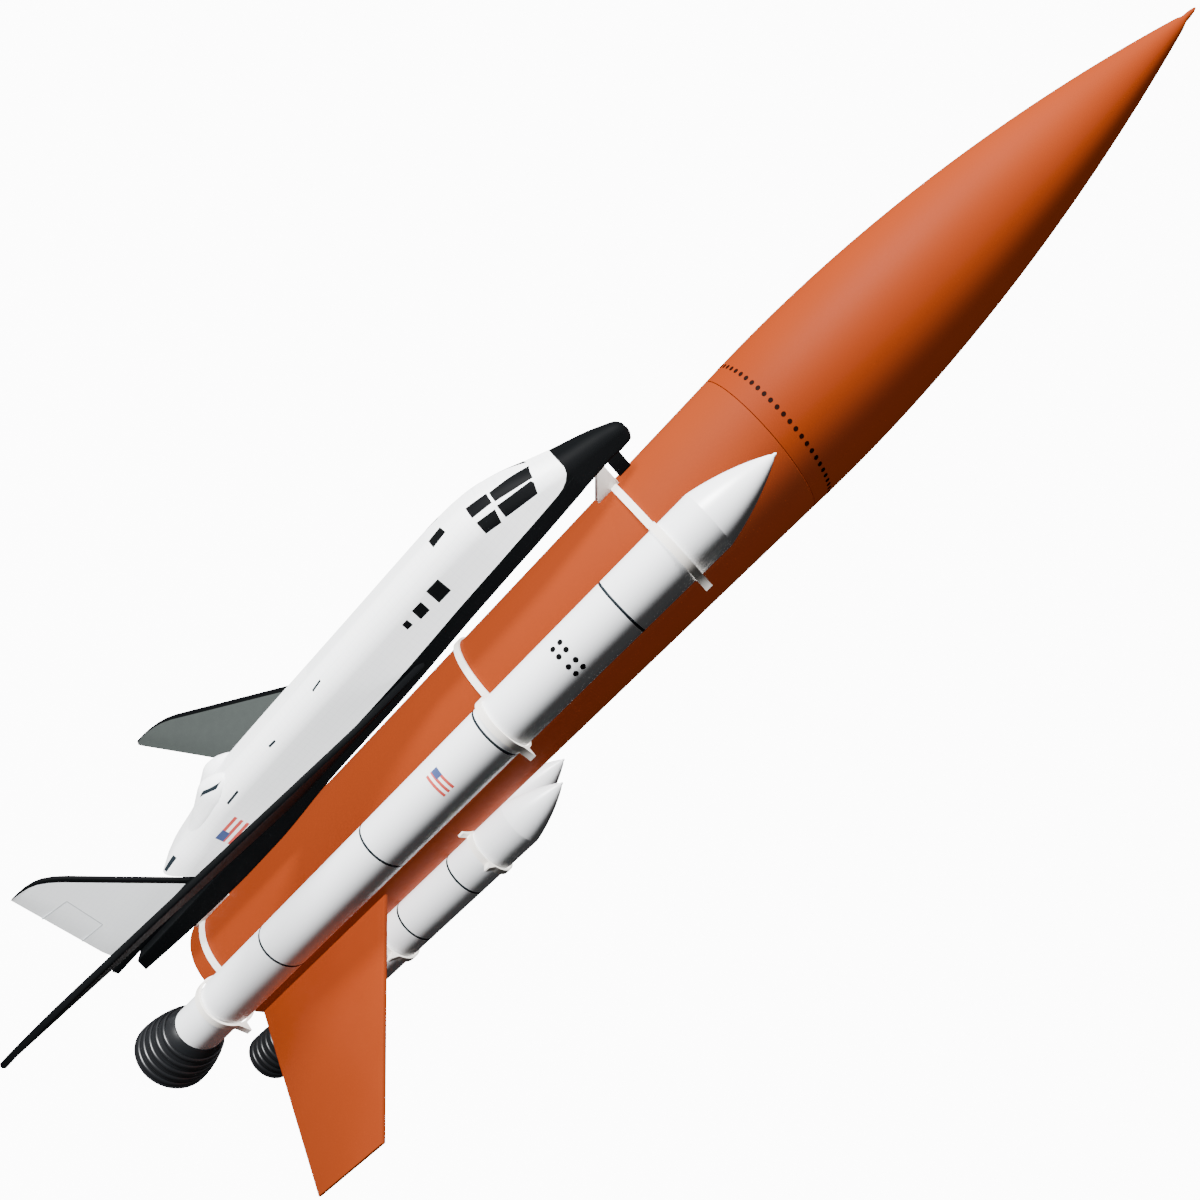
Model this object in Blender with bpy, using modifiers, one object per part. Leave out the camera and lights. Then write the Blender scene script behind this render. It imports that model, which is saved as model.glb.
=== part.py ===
# Flying model rocket in the form of a space shuttle stack: an orange tank tube with a pull-off
# nose cone, two long and two short boosters, two fins, and an orbiter glider that lifts off.
# Metres, +Z up. The rocket stands on its nozzles, with the origin under the middle of its footprint.

import math

import bmesh
import bpy
from mathutils import Matrix, Vector

MM = 0.001
GAP = 0.3 * MM
MERGE = 0.00001

# Where the tank's axis and tail end stand above the middle of the footprint
AXIS_X = -13.45 * MM
AXIS_Y = 21.12 * MM
TAIL_HEIGHT = 31.0 * MM

# Tank tube, nose cone and motor mount; heights are counted from the tank's tail end
TANK_RADIUS = 33.0 * MM
TANK_WALL = 1.2 * MM
TANK_TOP = 350.0 * MM
NOSE_COLLAR = 8.0 * MM
NOSE_TIP = 544.8 * MM
NOSE_TIP_RADIUS = 1.4 * MM
NOSE_WALL = 1.8 * MM
SHOULDER_LENGTH = 34.0 * MM
MOTOR_BORE = 12.05 * MM
MOTOR_WALL = 0.8 * MM
MOTOR_TUBE_LOW = -6.0 * MM
MOTOR_TUBE_HIGH = 84.0 * MM
RING_LOW = 2.0 * MM
RING_THICKNESS = 3.0 * MM

# Boosters: body radius, angle round the tank from the -Y side, and heights
LONG_RADIUS = 12.4 * MM
LONG_ANGLE = 90.0
LONG_SHOULDER = 313.0 * MM
LONG_TIP = 344.9 * MM
SHORT_RADIUS = 11.8 * MM
SHORT_ANGLE = 160.0
SHORT_SHOULDER = 164.0 * MM
SHORT_TIP = 192.5 * MM
BODY_LOW = 13.6 * MM
SKIRT_LOW = -9.0 * MM
SKIRT_INSET = 0.5 * MM
NOZZLE_LOW = -31.0 * MM
LONG_NOZZLE_RADIUS = 18.5 * MM
SHORT_NOZZLE_RADIUS = 13.0 * MM
NOZZLE_RIBS = 4
BOOSTER_TIP_RADIUS = 0.8 * MM

# Bands that tie the boosters to the tank
BAND_THICKNESS = 1.1 * MM
BAND_WIDTH = 3.0 * MM
SPUR_LENGTH = 4.5 * MM
LONG_BAND_HEIGHTS = {"forward_yoke": 297.0 * MM, "middle_yoke": 203.0 * MM, "aft_yoke": 11.8 * MM}
SHORT_BAND_HEIGHTS = {"short_band_forward": 143.0 * MM, "short_band_aft": 74.0 * MM}
BAND_END_ANGLE = 16.0
SHORT_BAND_END_ANGLE = 22.0

# Fins
FIN_ANGLE = 128.0
FIN_THICKNESS = 2.4 * MM
FIN_REACH = 129.0 * MM
FIN_ROOT = (1.2 * MM, 96.5 * MM)
FIN_TIP = (9.5 * MM, 52.0 * MM)

# Orbiter glider: distances out from the tank's axis, half widths, heights
ORBITER_ANGLE = 20.0
HALF_WIDTH = 16.0 * MM
DECK_HALF_WIDTH = 8.8 * MM
DECK_OUT = 49.8 * MM
DECK_THICKNESS = 3.2 * MM
DECK_TOP = 33.0 * MM
DECK_REAR = -31.0 * MM
TAIL_THICKNESS = 2.4 * MM
WING_THICKNESS = 2.6 * MM
WING_ROOT_LEVEL = 47.2 * MM
DIHEDRAL = 26.7
PEG_SIZE = (4.0 * MM, 8.3 * MM, 6.0 * MM)
PEG_OUT = 39.05 * MM
PEG_HEIGHT = 304.5 * MM


def make_material(name, colour, roughness, metallic=0.0):
    material = bpy.data.materials.new(name)
    material.use_nodes = True
    shader = material.node_tree.nodes["Principled BSDF"]
    shader.inputs["Base Color"].default_value = (*colour, 1.0)
    shader.inputs["Roughness"].default_value = roughness
    shader.inputs["Metallic"].default_value = metallic
    return material


def add_object(name, data, material, parent, location=(0, 0, 0), rotation=(0, 0, 0)):
    thing = bpy.data.objects.new(name, data)
    parts.objects.link(thing)
    thing.data.materials.append(material)
    thing.parent = parent
    thing.location = location
    thing.rotation_euler = rotation
    return thing


def add_empty(name, parent=None, location=(0, 0, 0), rotation=(0, 0, 0)):
    empty = bpy.data.objects.new(name, None)
    parts.objects.link(empty)
    empty.parent = parent
    empty.location = location
    empty.rotation_euler = rotation
    return empty


# A point at a distance from the tank's axis, at an angle from the -Y side towards +X
def round_tank(distance, angle, height=0.0):
    turn = math.radians(angle)
    return Vector((distance * math.sin(turn), -distance * math.cos(turn), height))


# A turned shape: the profile runs down its outer side, and a closed one comes back up its bore
def turned(name, profile, material, parent, location=(0, 0, 0), steps=40, closed=False):
    mesh = bpy.data.meshes.new(name)
    form = bmesh.new()
    points = [form.verts.new((radius, 0.0, height)) for radius, height in profile]
    pairs = list(zip(points, points[1:]))
    if closed:
        pairs.append((points[-1], points[0]))
    for start, end in pairs:
        form.edges.new((start, end))
    form.to_mesh(mesh)
    form.free()
    thing = add_object(name, mesh, material, parent, location)
    screw = thing.modifiers.new("Turn", "SCREW")
    screw.axis = "Z"
    screw.angle = math.tau
    screw.steps = steps
    screw.render_steps = steps
    screw.use_merge_vertices = True
    screw.merge_threshold = MERGE
    screw.use_smooth_shade = True
    return thing


# A flat outline, given thickness evenly about its own plane
def flat_outline(name, splines, thickness, material, parent, location=(0, 0, 0), rotation=(0, 0, 0)):
    curve = bpy.data.curves.new(name, "CURVE")
    curve.dimensions = "2D"
    curve.fill_mode = "BOTH"
    curve.extrude = thickness / 2
    for outline in splines:
        spline = curve.splines.new("POLY")
        spline.points.add(len(outline) - 1)
        for point, (across, along) in zip(spline.points, outline):
            point.co = (across, along, 0.0, 1.0)
        spline.use_cyclic_u = True
    return add_object(name, curve, material, parent, location, rotation)


# The curve as a plain mesh object, so that it can be sheared, cut or joined
def as_mesh(thing):
    depsgraph = bpy.context.evaluated_depsgraph_get()
    mesh = bpy.data.meshes.new_from_object(thing.evaluated_get(depsgraph))
    form = bmesh.new()
    form.from_mesh(mesh)
    bmesh.ops.remove_doubles(form, verts=form.verts, dist=MERGE)
    bmesh.ops.recalc_face_normals(form, faces=form.faces)
    form.to_mesh(mesh)
    form.free()
    solid = bpy.data.objects.new(thing.name + "_mesh", mesh)
    parts.objects.link(solid)
    solid.parent = thing.parent
    solid.matrix_parent_inverse = thing.matrix_parent_inverse.copy()
    solid.matrix_basis = thing.matrix_basis.copy()
    name = thing.name
    bpy.data.objects.remove(thing)
    solid.name = name
    return solid


def join_with(thing, tool):
    boolean = thing.modifiers.new("Join", "BOOLEAN")
    boolean.operation = "UNION"
    boolean.solver = "EXACT"
    boolean.object = tool
    cutters.objects.link(tool)
    parts.objects.unlink(tool)
    tool.hide_render = True
    tool.display_type = "WIRE"


def arc(centre, radius, start, end, steps):
    turn = (end - start) / steps
    return [
        (
            centre[0] + radius * math.cos(math.radians(start + turn * step)),
            centre[1] + radius * math.sin(math.radians(start + turn * step)),
        )
        for step in range(steps + 1)
    ]


# Radius of a pointed nose at a distance above its base, as the arc that meets the body smoothly
def ogive(radius, length, above):
    sweep = (radius**2 + length**2) / (2 * radius)
    return math.sqrt(sweep**2 - above**2) + radius - sweep


def nose_profile(radius, low, tip, tip_radius, rows, fullness):
    length = tip - low
    profile = []
    for row in range(rows + 1):
        above = length * (1 - row / rows)
        curved = ogive(radius, length, above)
        straight = radius * (1 - above / length)
        profile.append((max(fullness * curved + (1 - fullness) * straight, tip_radius), low + above))
    profile[0] = (tip_radius, tip - tip_radius * 0.8)
    return [(0.0, tip)] + profile


# Tank tube, nose cone with its shoulder, and the motor mount
def build_tank():
    inner = TANK_RADIUS - TANK_WALL
    turned(
        "tank_tube",
        [(TANK_RADIUS, TANK_TOP), (TANK_RADIUS, 0.0), (inner, 0.0), (inner, TANK_TOP)],
        orange, stack, closed=True, steps=40,
    )
    low = TANK_TOP + GAP
    collar_top = low + NOSE_COLLAR
    plug = inner - GAP
    outside = nose_profile(TANK_RADIUS, collar_top, NOSE_TIP, NOSE_TIP_RADIUS, 12, 1.0)
    outside += [(TANK_RADIUS, low), (plug, low), (plug, low - SHOULDER_LENGTH)]
    hollow_tip = NOSE_TIP - 14 * NOSE_WALL
    inside = nose_profile(TANK_RADIUS - NOSE_WALL, collar_top, hollow_tip, 0.6 * MM, 7, 1.0)
    inside += [(plug - NOSE_WALL, low), (plug - NOSE_WALL, low - SHOULDER_LENGTH)]
    turned("nose_cone", outside + inside[::-1], orange, nose_mount, steps=40)
    motor_outside = MOTOR_BORE + MOTOR_WALL
    turned(
        "motor_tube",
        [
            (motor_outside, MOTOR_TUBE_HIGH), (motor_outside, MOTOR_TUBE_LOW),
            (MOTOR_BORE, MOTOR_TUBE_LOW), (MOTOR_BORE, MOTOR_TUBE_HIGH),
        ],
        kraft, stack, closed=True, steps=32,
    )
    ring_top = RING_LOW + RING_THICKNESS
    turned(
        "centering_ring",
        [
            (inner - GAP, ring_top), (inner - GAP, RING_LOW),
            (motor_outside + GAP, RING_LOW), (motor_outside + GAP, ring_top),
        ],
        kraft, stack, closed=True, steps=40,
    )


# The ribbed bell under a booster: flares fast, then runs nearly straight to its exit
def nozzle_profile(throat, exit_radius):
    height = SKIRT_LOW - GAP - NOZZLE_LOW
    top = SKIRT_LOW - GAP
    profile = [(throat, top), (throat + 0.15 * (exit_radius - throat), top - 0.12 * height)]
    rib_top = 0.22
    rib_pitch = (1.0 - rib_top) / NOZZLE_RIBS
    for rib in range(NOZZLE_RIBS):
        for share, proud in ((0.0, 0.0), (0.3, 0.7 * MM), (0.7, 0.7 * MM)):
            down = rib_top + rib_pitch * (rib + share)
            flare = math.sin(math.radians(90.0 * down)) ** 0.8
            profile.append((throat + (exit_radius - 0.7 * MM - throat) * flare + proud, top - down * height))
    profile.append((exit_radius, NOZZLE_LOW))
    bore = exit_radius - 1.6 * MM
    profile += [(bore, NOZZLE_LOW), (0.75 * bore, NOZZLE_LOW + 0.35 * height)]
    profile += [(0.42 * bore, NOZZLE_LOW + 0.6 * height), (0.0, NOZZLE_LOW + 0.6 * height)]
    return [(0.0, top)] + profile


# name, body radius, angle round the tank, shoulder height, tip height, nozzle radius
BOOSTERS = [
    ("long_booster_right", LONG_RADIUS, LONG_ANGLE, LONG_SHOULDER, LONG_TIP, LONG_NOZZLE_RADIUS),
    ("long_booster_left", LONG_RADIUS, -LONG_ANGLE, LONG_SHOULDER, LONG_TIP, LONG_NOZZLE_RADIUS),
    ("short_booster_right", SHORT_RADIUS, SHORT_ANGLE, SHORT_SHOULDER, SHORT_TIP, SHORT_NOZZLE_RADIUS),
    ("short_booster_left", SHORT_RADIUS, -SHORT_ANGLE, SHORT_SHOULDER, SHORT_TIP, SHORT_NOZZLE_RADIUS),
]


def booster_distance(radius):
    return TANK_RADIUS + GAP + radius


def build_boosters():
    for name, radius, angle, shoulder, tip, nozzle_radius in BOOSTERS:
        place = round_tank(booster_distance(radius), angle)
        turned(name + "_body", [(0.0, shoulder), (radius, shoulder), (radius, BODY_LOW), (0.0, BODY_LOW)],
               white, stack, place, steps=32)
        low = shoulder + GAP
        profile = nose_profile(radius, low, tip, BOOSTER_TIP_RADIUS, 5, 0.45)
        turned(name + "_nose", profile + [(0.0, low)], white, stack, place, steps=32)
        skirt = radius - SKIRT_INSET
        top = BODY_LOW - GAP
        turned(name + "_skirt", [(0.0, top), (skirt, top), (skirt, SKIRT_LOW), (0.0, SKIRT_LOW)],
               white, stack, place, steps=32)
        turned(name + "_nozzle", nozzle_profile(skirt, nozzle_radius), black, stack, place, steps=24)


# Angle at the first circle's centre where it meets a second circle at the given distance
def meeting_angle(first, second, distance):
    cosine = (first**2 + distance**2 - second**2) / (2 * first * distance)
    return math.degrees(math.acos(cosine))


# A band round the outside of the tank that bulges out over one booster and ends in a pointed spur.
# Angles here are from the -Y side; 90 less gives the angle from +X that the arcs use.
def saddle_band(start_angle, booster_radius, booster_angle, end_angle):
    hug = TANK_RADIUS + GAP
    skin = hug + BAND_THICKNESS
    bore = booster_radius + GAP
    wrap = bore + BAND_THICKNESS
    distance = booster_distance(booster_radius)
    centre = round_tank(distance, booster_angle)[:2]
    outward = booster_angle - 90.0
    tank_outer = meeting_angle(skin, wrap, distance)
    tank_inner = meeting_angle(hug, bore, distance)
    booster_outer = 180.0 - meeting_angle(wrap, skin, distance)
    booster_inner = 180.0 - meeting_angle(bore, hug, distance)
    origin = (0.0, 0.0)
    spur_turn = 68.0
    outer = arc(origin, skin, start_angle - 90.0, outward - tank_outer, 9)
    outer += arc(centre, wrap, outward - booster_outer, outward + spur_turn - 16.0, 14)[1:]
    outer += arc(centre, wrap + SPUR_LENGTH, outward + spur_turn, outward + spur_turn, 1)[:1]
    outer += arc(centre, wrap, outward + spur_turn + 3.0, outward + booster_outer, 6)
    outer += arc(origin, skin, outward + tank_outer, end_angle - 90.0, 3)[1:]
    inner = arc(origin, hug, end_angle - 90.0, outward + tank_inner, 3)
    inner += arc(centre, bore, outward + booster_inner, outward - booster_inner, 20)[1:]
    inner += arc(origin, hug, outward - tank_inner, start_angle - 90.0, 9)[1:]
    return outer, inner


# Both sides of a band in one closed outline; a side starts at the middle of the band
def whole_band(outer, inner):
    mirrored_outer = [(-across, along) for across, along in outer]
    mirrored_inner = [(-across, along) for across, along in inner]
    return outer + inner + mirrored_inner[::-1][1:] + mirrored_outer[::-1][:-1]


# The short boosters' bands start between them, on the far side of the tank from the orbiter
def build_bands():
    for name, height in LONG_BAND_HEIGHTS.items():
        outer, inner = saddle_band(0.0, LONG_RADIUS, LONG_ANGLE, LONG_ANGLE + BAND_END_ANGLE)
        band = flat_outline(name, [whole_band(outer, inner)], BAND_WIDTH, white, stack, (0, 0, height))
        if name in GUSSETS:
            band = as_mesh(band)
            join_with(band, build_gusset(name))
    for name, height in SHORT_BAND_HEIGHTS.items():
        turned_angle = 180.0 - SHORT_ANGLE
        outer, inner = saddle_band(0.0, SHORT_RADIUS, turned_angle, turned_angle + SHORT_BAND_END_ANGLE)
        flat_outline(
            name, [whole_band(outer, inner)], BAND_WIDTH, white, stack,
            (0, 0, height), (0, 0, math.radians(180)),
        )


# Brackets that hold the orbiter, as outlines of distance from the axis and height
GUSSETS = {
    "forward_yoke": ((33.6, 284.0), (35.0, 284.0), (44.7, 294.0), (44.4, 299.6), (33.6, 299.6)),
    "aft_yoke": ((33.6, 8.0), (40.0, 8.0), (41.15, 10.5), (40.2, 26.0), (35.6, 34.0), (33.6, 34.0)),
}
GUSSET_THICKNESS = 4.0 * MM


def build_gusset(name):
    outline = [(out * MM, up * MM) for out, up in GUSSETS[name]]
    gusset = flat_outline(
        name + "_gusset", [outline], GUSSET_THICKNESS, white, stack,
        rotation=(math.radians(90), 0, math.radians(ORBITER_ANGLE - 90)),
    )
    return as_mesh(gusset)


def build_fins():
    root = TANK_RADIUS + GAP
    outline = [(root, FIN_ROOT[0]), (FIN_REACH, FIN_TIP[0]), (FIN_REACH, FIN_TIP[1]), (root, FIN_ROOT[1])]
    for name, angle in (("fin_right", FIN_ANGLE), ("fin_left", -FIN_ANGLE)):
        flat_outline(
            name, [outline], FIN_THICKNESS, orange, stack,
            rotation=(math.radians(90), 0, math.radians(angle - 90)),
        )


# One cross-section of the orbiter's hull: flat bottom, upright sides, rounded shoulders.
# rake tips the section's top aft, in metres of height lost for each metre out.
def hull_section(height, half_width, low, high, corner, rake=0.0):
    points = [(-half_width, low), (half_width, low)]
    points += arc((half_width - corner, high - corner), corner, 0, 90, 6)
    points += arc((corner - half_width, high - corner), corner, 90, 180, 6)
    return [Vector((across, -out, height - rake * (out - low))) for across, out in points]


# Hull between sections with the same number of points
def hull(name, sections, material):
    mesh = bpy.data.meshes.new(name)
    form = bmesh.new()
    rings = [[form.verts.new(point) for point in section] for section in sections]
    for upper, lower in zip(rings, rings[1:]):
        count = len(upper)
        for index in range(count):
            after = (index + 1) % count
            form.faces.new((upper[index], upper[after], lower[after], lower[index]))
    form.faces.new(rings[0])
    form.faces.new(rings[-1])
    bmesh.ops.recalc_face_normals(form, faces=form.faces)
    form.to_mesh(mesh)
    form.free()
    return add_object(name, mesh, material, orbiter)


# height, half width, near and far distance from the tank's axis, all mm: the belly is not level
PAN_STATIONS = [
    (288.0, 11.5, 45.4, 52.0),
    (276.0, 13.0, 45.4, 52.1),
    (253.0, 15.4, 45.5, 52.2),
    (232.0, 16.0, 45.1, 51.9),
    (180.0, 16.0, 42.8, 50.2),
    (126.0, 16.0, 41.6, 49.8),
    (85.0, 16.0, 39.2, 49.5),
    (65.0, 16.0, 39.1, 49.5),
    (25.0, 16.0, 40.6, 49.5),
    (-16.0, 15.0, 43.1, 49.5),
]
PAN_RAKE = -0.6

# height, half width, distance of the roof from the tank's axis, shoulder radius, all mm
HULL_STATIONS = [
    (288.0, 11.5, 60.6, 7.0),
    (276.0, 13.0, 64.3, 8.5),
    (253.0, 15.4, 70.2, 10.0),
    (232.0, 16.0, 73.4, 11.0),
    (180.0, 16.0, 75.2, 11.0),
    (126.0, 16.0, 75.5, 11.0),
    (85.0, 16.0, 75.5, 11.0),
    (66.0, 16.0, 73.3, 10.5),
    (46.0, 15.5, 70.0, 9.5),
    (35.6, 15.0, 65.3, 8.0),
]
TAIL_RAKE = 0.633

# height, half width, near and far distance from the tank's axis, shoulder radius, all mm
CAP_STATIONS = [
    (315.2, 2.0, 44.2, 48.6, 1.8),
    (313.6, 4.2, 42.9, 50.6, 3.4),
    (309.0, 5.8, 43.2, 53.0, 4.5),
    (303.0, 7.8, 44.5, 55.6, 5.5),
    (288.3, 11.5, 45.4, 60.6, 7.0),
]


# A table's row at any height, in a straight line between the two rows round it
def row_at(stations, height):
    for upper, lower in zip(stations, stations[1:]):
        if upper[0] >= height >= lower[0]:
            share = (upper[0] - height) / (upper[0] - lower[0])
            return [high + share * (low - high) for high, low in zip(upper, lower)]


def build_pan():
    sections = []
    for height, half_width, low, high in PAN_STATIONS:
        rake = PAN_RAKE if height == PAN_STATIONS[-1][0] else 0.0
        corners = ((-half_width, low), (half_width, low), (half_width, high), (-half_width, high))
        sections.append([
            Vector((across, -out, height - rake * (out - low))) * MM for across, out in corners
        ])
    hull("orbiter_belly_pan", sections, black)


def build_hull():
    sections = []
    for height, half_width, roof, corner in HULL_STATIONS:
        rake = TAIL_RAKE if height == HULL_STATIONS[-1][0] else 0.0
        low = row_at(PAN_STATIONS, height)[3] * MM + GAP
        sections.append(hull_section(height * MM, half_width * MM, low, roof * MM, corner * MM, rake))
    hull("orbiter_fuselage", sections, white)
    sections = [
        hull_section(height * MM, half_width * MM, low * MM, high * MM, corner * MM)
        for height, half_width, low, high, corner in CAP_STATIONS
    ]
    hull("orbiter_nose_cap", sections, black)
    deck = [
        (DECK_HALF_WIDTH, DECK_TOP), (DECK_HALF_WIDTH, DECK_REAR),
        (-DECK_HALF_WIDTH, DECK_REAR), (-DECK_HALF_WIDTH, DECK_TOP),
    ]
    flat_outline(
        "orbiter_tail_deck", [deck], DECK_THICKNESS, black, orbiter,
        (0, -(DECK_OUT + DECK_THICKNESS / 2), 0), (math.radians(90), 0, 0),
    )


# Wing outline as distance along the slope from the root and height: strake, leading edge,
# rounded tip, trailing edge
WING_OUTLINE = [
    (0.0, 195.0), (6.0, 172.0), (14.0, 156.0), (41.0, 117.5), (87.5, 51.0), (94.2, 38.0), (97.5, 25.0),
    (98.0, 15.8), (96.0, 16.4), (0.0, 101.0),
]


def build_wings():
    slope = math.radians(DIHEDRAL)
    upright = WING_THICKNESS / math.cos(slope)
    outline = [(along * math.cos(slope) * MM, height * MM) for along, height in WING_OUTLINE]
    for name, side in (("orbiter_wing_right", 1), ("orbiter_wing_left", -1)):
        mirrored = [(side * across, height) for across, height in outline]
        wing = flat_outline(
            name, [mirrored], upright, grey, orbiter,
            (side * (HALF_WIDTH + GAP), -WING_ROOT_LEVEL, 0), (math.radians(90), 0, 0),
        )
        wing = as_mesh(wing)
        lean = Matrix.Identity(4)
        lean[2][0] = side * math.tan(slope)
        wing.data.transform(lean)


# Tail outline as distance from the tank's axis and height
TAIL_OUTLINE = [
    (53.3, 32.8), (97.0, 5.2), (102.0, 0.0), (105.0, -8.0), (106.0, -18.0), (58.0, -30.5), (53.3, -30.5),
]


def build_tail():
    outline = [(out * MM, height * MM) for out, height in TAIL_OUTLINE]
    flat_outline(
        "orbiter_tail_fin", [outline], TAIL_THICKNESS, pale, orbiter,
        rotation=(math.radians(90), 0, math.radians(-90)),
    )


# Engine pods on the rear shoulders: height, half width and how proud of the hull they stand, in mm
POD_STATIONS = [
    (97.5, 2.2, 0.9),
    (92.0, 4.6, 2.7),
    (85.0, 5.6, 3.8),
    (76.0, 5.8, 4.0),
    (66.0, 5.6, 3.8),
    (56.0, 4.8, 2.8),
    (48.0, 3.2, 1.2),
]
POD_ACROSS = 8.3
POD_STEPS = 10


# Distance of the hull's skin from the tank's axis, in mm, at a height and across its roof
def skin_at(height, across):
    _, half_width, roof, corner = row_at(HULL_STATIONS, height)
    past = max(0.0, across - (half_width - corner))
    return roof - corner + math.sqrt(corner**2 - past**2)


# A pod's section lies on the hull's shoulder and bulges out of it in a half wave
def pod_section(side, height, half_width, proud):
    lower, upper = [], []
    for step in range(POD_STEPS + 1):
        turn = math.pi * step / POD_STEPS
        across = POD_ACROSS + half_width * math.cos(turn)
        foot = skin_at(height, across) + GAP / MM
        lower.append((across, foot))
        upper.append((across, foot + proud * math.sin(turn)))
    outline = upper + lower[::-1][1:-1]
    return [Vector((side * across, -out, height)) * MM for across, out in outline]


def build_pods():
    for name, side in (("orbiter_pod_right", 1), ("orbiter_pod_left", -1)):
        hull(name, [pod_section(side, *station) for station in POD_STATIONS], white)


def build_peg():
    mesh = bpy.data.meshes.new("orbiter_nose_peg")
    form = bmesh.new()
    bmesh.ops.create_cube(form, size=1.0)
    bmesh.ops.scale(form, vec=PEG_SIZE, verts=form.verts)
    form.to_mesh(mesh)
    form.free()
    add_object("orbiter_nose_peg", mesh, black, orbiter, (0, -PEG_OUT, PEG_HEIGHT))


for old in list(bpy.data.objects):
    bpy.data.objects.remove(old, do_unlink=True)

parts = bpy.data.collections.new("shuttle_model_rocket")
cutters = bpy.data.collections.new("cutters")
for collection in (parts, cutters):
    bpy.context.scene.collection.children.link(collection)

orange = make_material("orange_paint", (0.62, 0.13, 0.025), 0.38)
white = make_material("white_paint", (0.82, 0.83, 0.84), 0.35)
black = make_material("black_plastic", (0.012, 0.014, 0.018), 0.4)
grey = make_material("grey_foam", (0.17, 0.18, 0.175), 0.6)
pale = make_material("pale_foam", (0.68, 0.7, 0.7), 0.55)
kraft = make_material("kraft_card", (0.42, 0.29, 0.17), 0.8)

stack = add_empty("stack", location=(AXIS_X, AXIS_Y, TAIL_HEIGHT))
nose_mount = add_empty("nose_mount", stack)
orbiter = add_empty("orbiter_mount", stack, rotation=(0, 0, math.radians(ORBITER_ANGLE)))

build_tank()
build_boosters()
build_bands()
build_fins()
build_pan()
build_hull()
build_wings()
build_tail()
build_pods()
build_peg()
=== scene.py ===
from math import acos, ceil, cos, degrees, hypot, pi, radians, sin, sqrt, tau

import bmesh
import bpy
from mathutils import Matrix, Vector


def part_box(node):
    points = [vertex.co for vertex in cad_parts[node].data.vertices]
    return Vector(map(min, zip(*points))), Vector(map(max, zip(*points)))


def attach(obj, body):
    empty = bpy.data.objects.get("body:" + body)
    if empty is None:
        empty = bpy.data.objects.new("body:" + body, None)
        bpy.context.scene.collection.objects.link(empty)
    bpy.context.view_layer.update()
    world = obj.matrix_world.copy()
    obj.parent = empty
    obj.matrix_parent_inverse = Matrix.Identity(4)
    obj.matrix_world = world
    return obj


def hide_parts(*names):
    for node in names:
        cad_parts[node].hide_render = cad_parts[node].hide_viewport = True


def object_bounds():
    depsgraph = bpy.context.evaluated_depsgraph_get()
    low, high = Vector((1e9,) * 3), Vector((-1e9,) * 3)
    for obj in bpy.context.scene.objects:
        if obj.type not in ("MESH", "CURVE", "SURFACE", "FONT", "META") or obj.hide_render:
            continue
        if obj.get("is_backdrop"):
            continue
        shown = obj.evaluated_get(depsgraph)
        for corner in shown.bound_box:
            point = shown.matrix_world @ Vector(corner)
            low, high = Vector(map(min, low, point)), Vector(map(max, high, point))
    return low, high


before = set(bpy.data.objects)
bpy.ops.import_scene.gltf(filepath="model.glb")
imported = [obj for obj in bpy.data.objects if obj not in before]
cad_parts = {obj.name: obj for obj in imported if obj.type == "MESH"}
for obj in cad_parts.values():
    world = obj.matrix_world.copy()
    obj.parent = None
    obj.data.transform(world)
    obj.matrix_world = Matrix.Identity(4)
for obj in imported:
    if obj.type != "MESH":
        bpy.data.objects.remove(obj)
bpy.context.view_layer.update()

# Places

mm = 0.001
tankLow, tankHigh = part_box("tank_tube")
axisX = (tankLow.x + tankHigh.x) / 2
axisY = (tankLow.y + tankHigh.y) / 2
tailHeight = tankLow.z
orbiterAngle = 20.0  # degrees round the tank, from the -Y side towards +X
sides = (("right", 1), ("left", -1))

boosterCentres = {}
for booster in ("long_booster_right", "long_booster_left",
                "short_booster_right", "short_booster_left"):
    low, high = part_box(booster + "_body")
    boosterCentres[booster] = ((low.x + high.x) / 2, (low.y + high.y) / 2)


# A point given in mm from the tank's axis and tail end, as a world point
def place(x, y, z):
    return Vector((axisX + x * mm, axisY + y * mm, tailHeight + z * mm))


# A point of the orbiter: across its middle plane, out from the tank's axis, and height, in mm
def orbiterPoint(across, out, z):
    turn = radians(orbiterAngle)
    return place(across * cos(turn) + out * sin(turn), across * sin(turn) - out * cos(turn), z)


def orbiterDirection(across, out):
    return (orbiterPoint(across, out, 0) - orbiterPoint(0, 0, 0)).normalized()


# Shader helpers

bumpStrengths = {"spiral": 0.35, "moulded": 0.4, "foam": 0.35, "card": 0.6}
noiseDetails = {"drift": 3.0, "grain": 2.0}


# "#rrggbb" in sRGB to linear red, green, blue, alpha
def hexColour(text):
    channels = [int(text[at:at + 2], 16) / 255 for at in (1, 3, 5)]
    return tuple(c / 12.92 if c <= 0.04045 else ((c + 0.055) / 1.055) ** 2.4
                 for c in channels) + (1.0,)


# Adds a node, sets its settings and inputs, and links any input given as a socket, or as a node
# by its first output
def addNode(tree, kind, inputs=None, **settings):
    node = tree.nodes.new(kind)
    for name, value in settings.items():
        setattr(node, name, value)
    for key, value in (inputs or {}).items():
        if isinstance(value, bpy.types.Node):
            value = value.outputs[0]
        if isinstance(value, bpy.types.NodeSocket):
            tree.links.new(value, node.inputs[key])
        else:
            node.inputs[key].default_value = value
    return node


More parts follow.
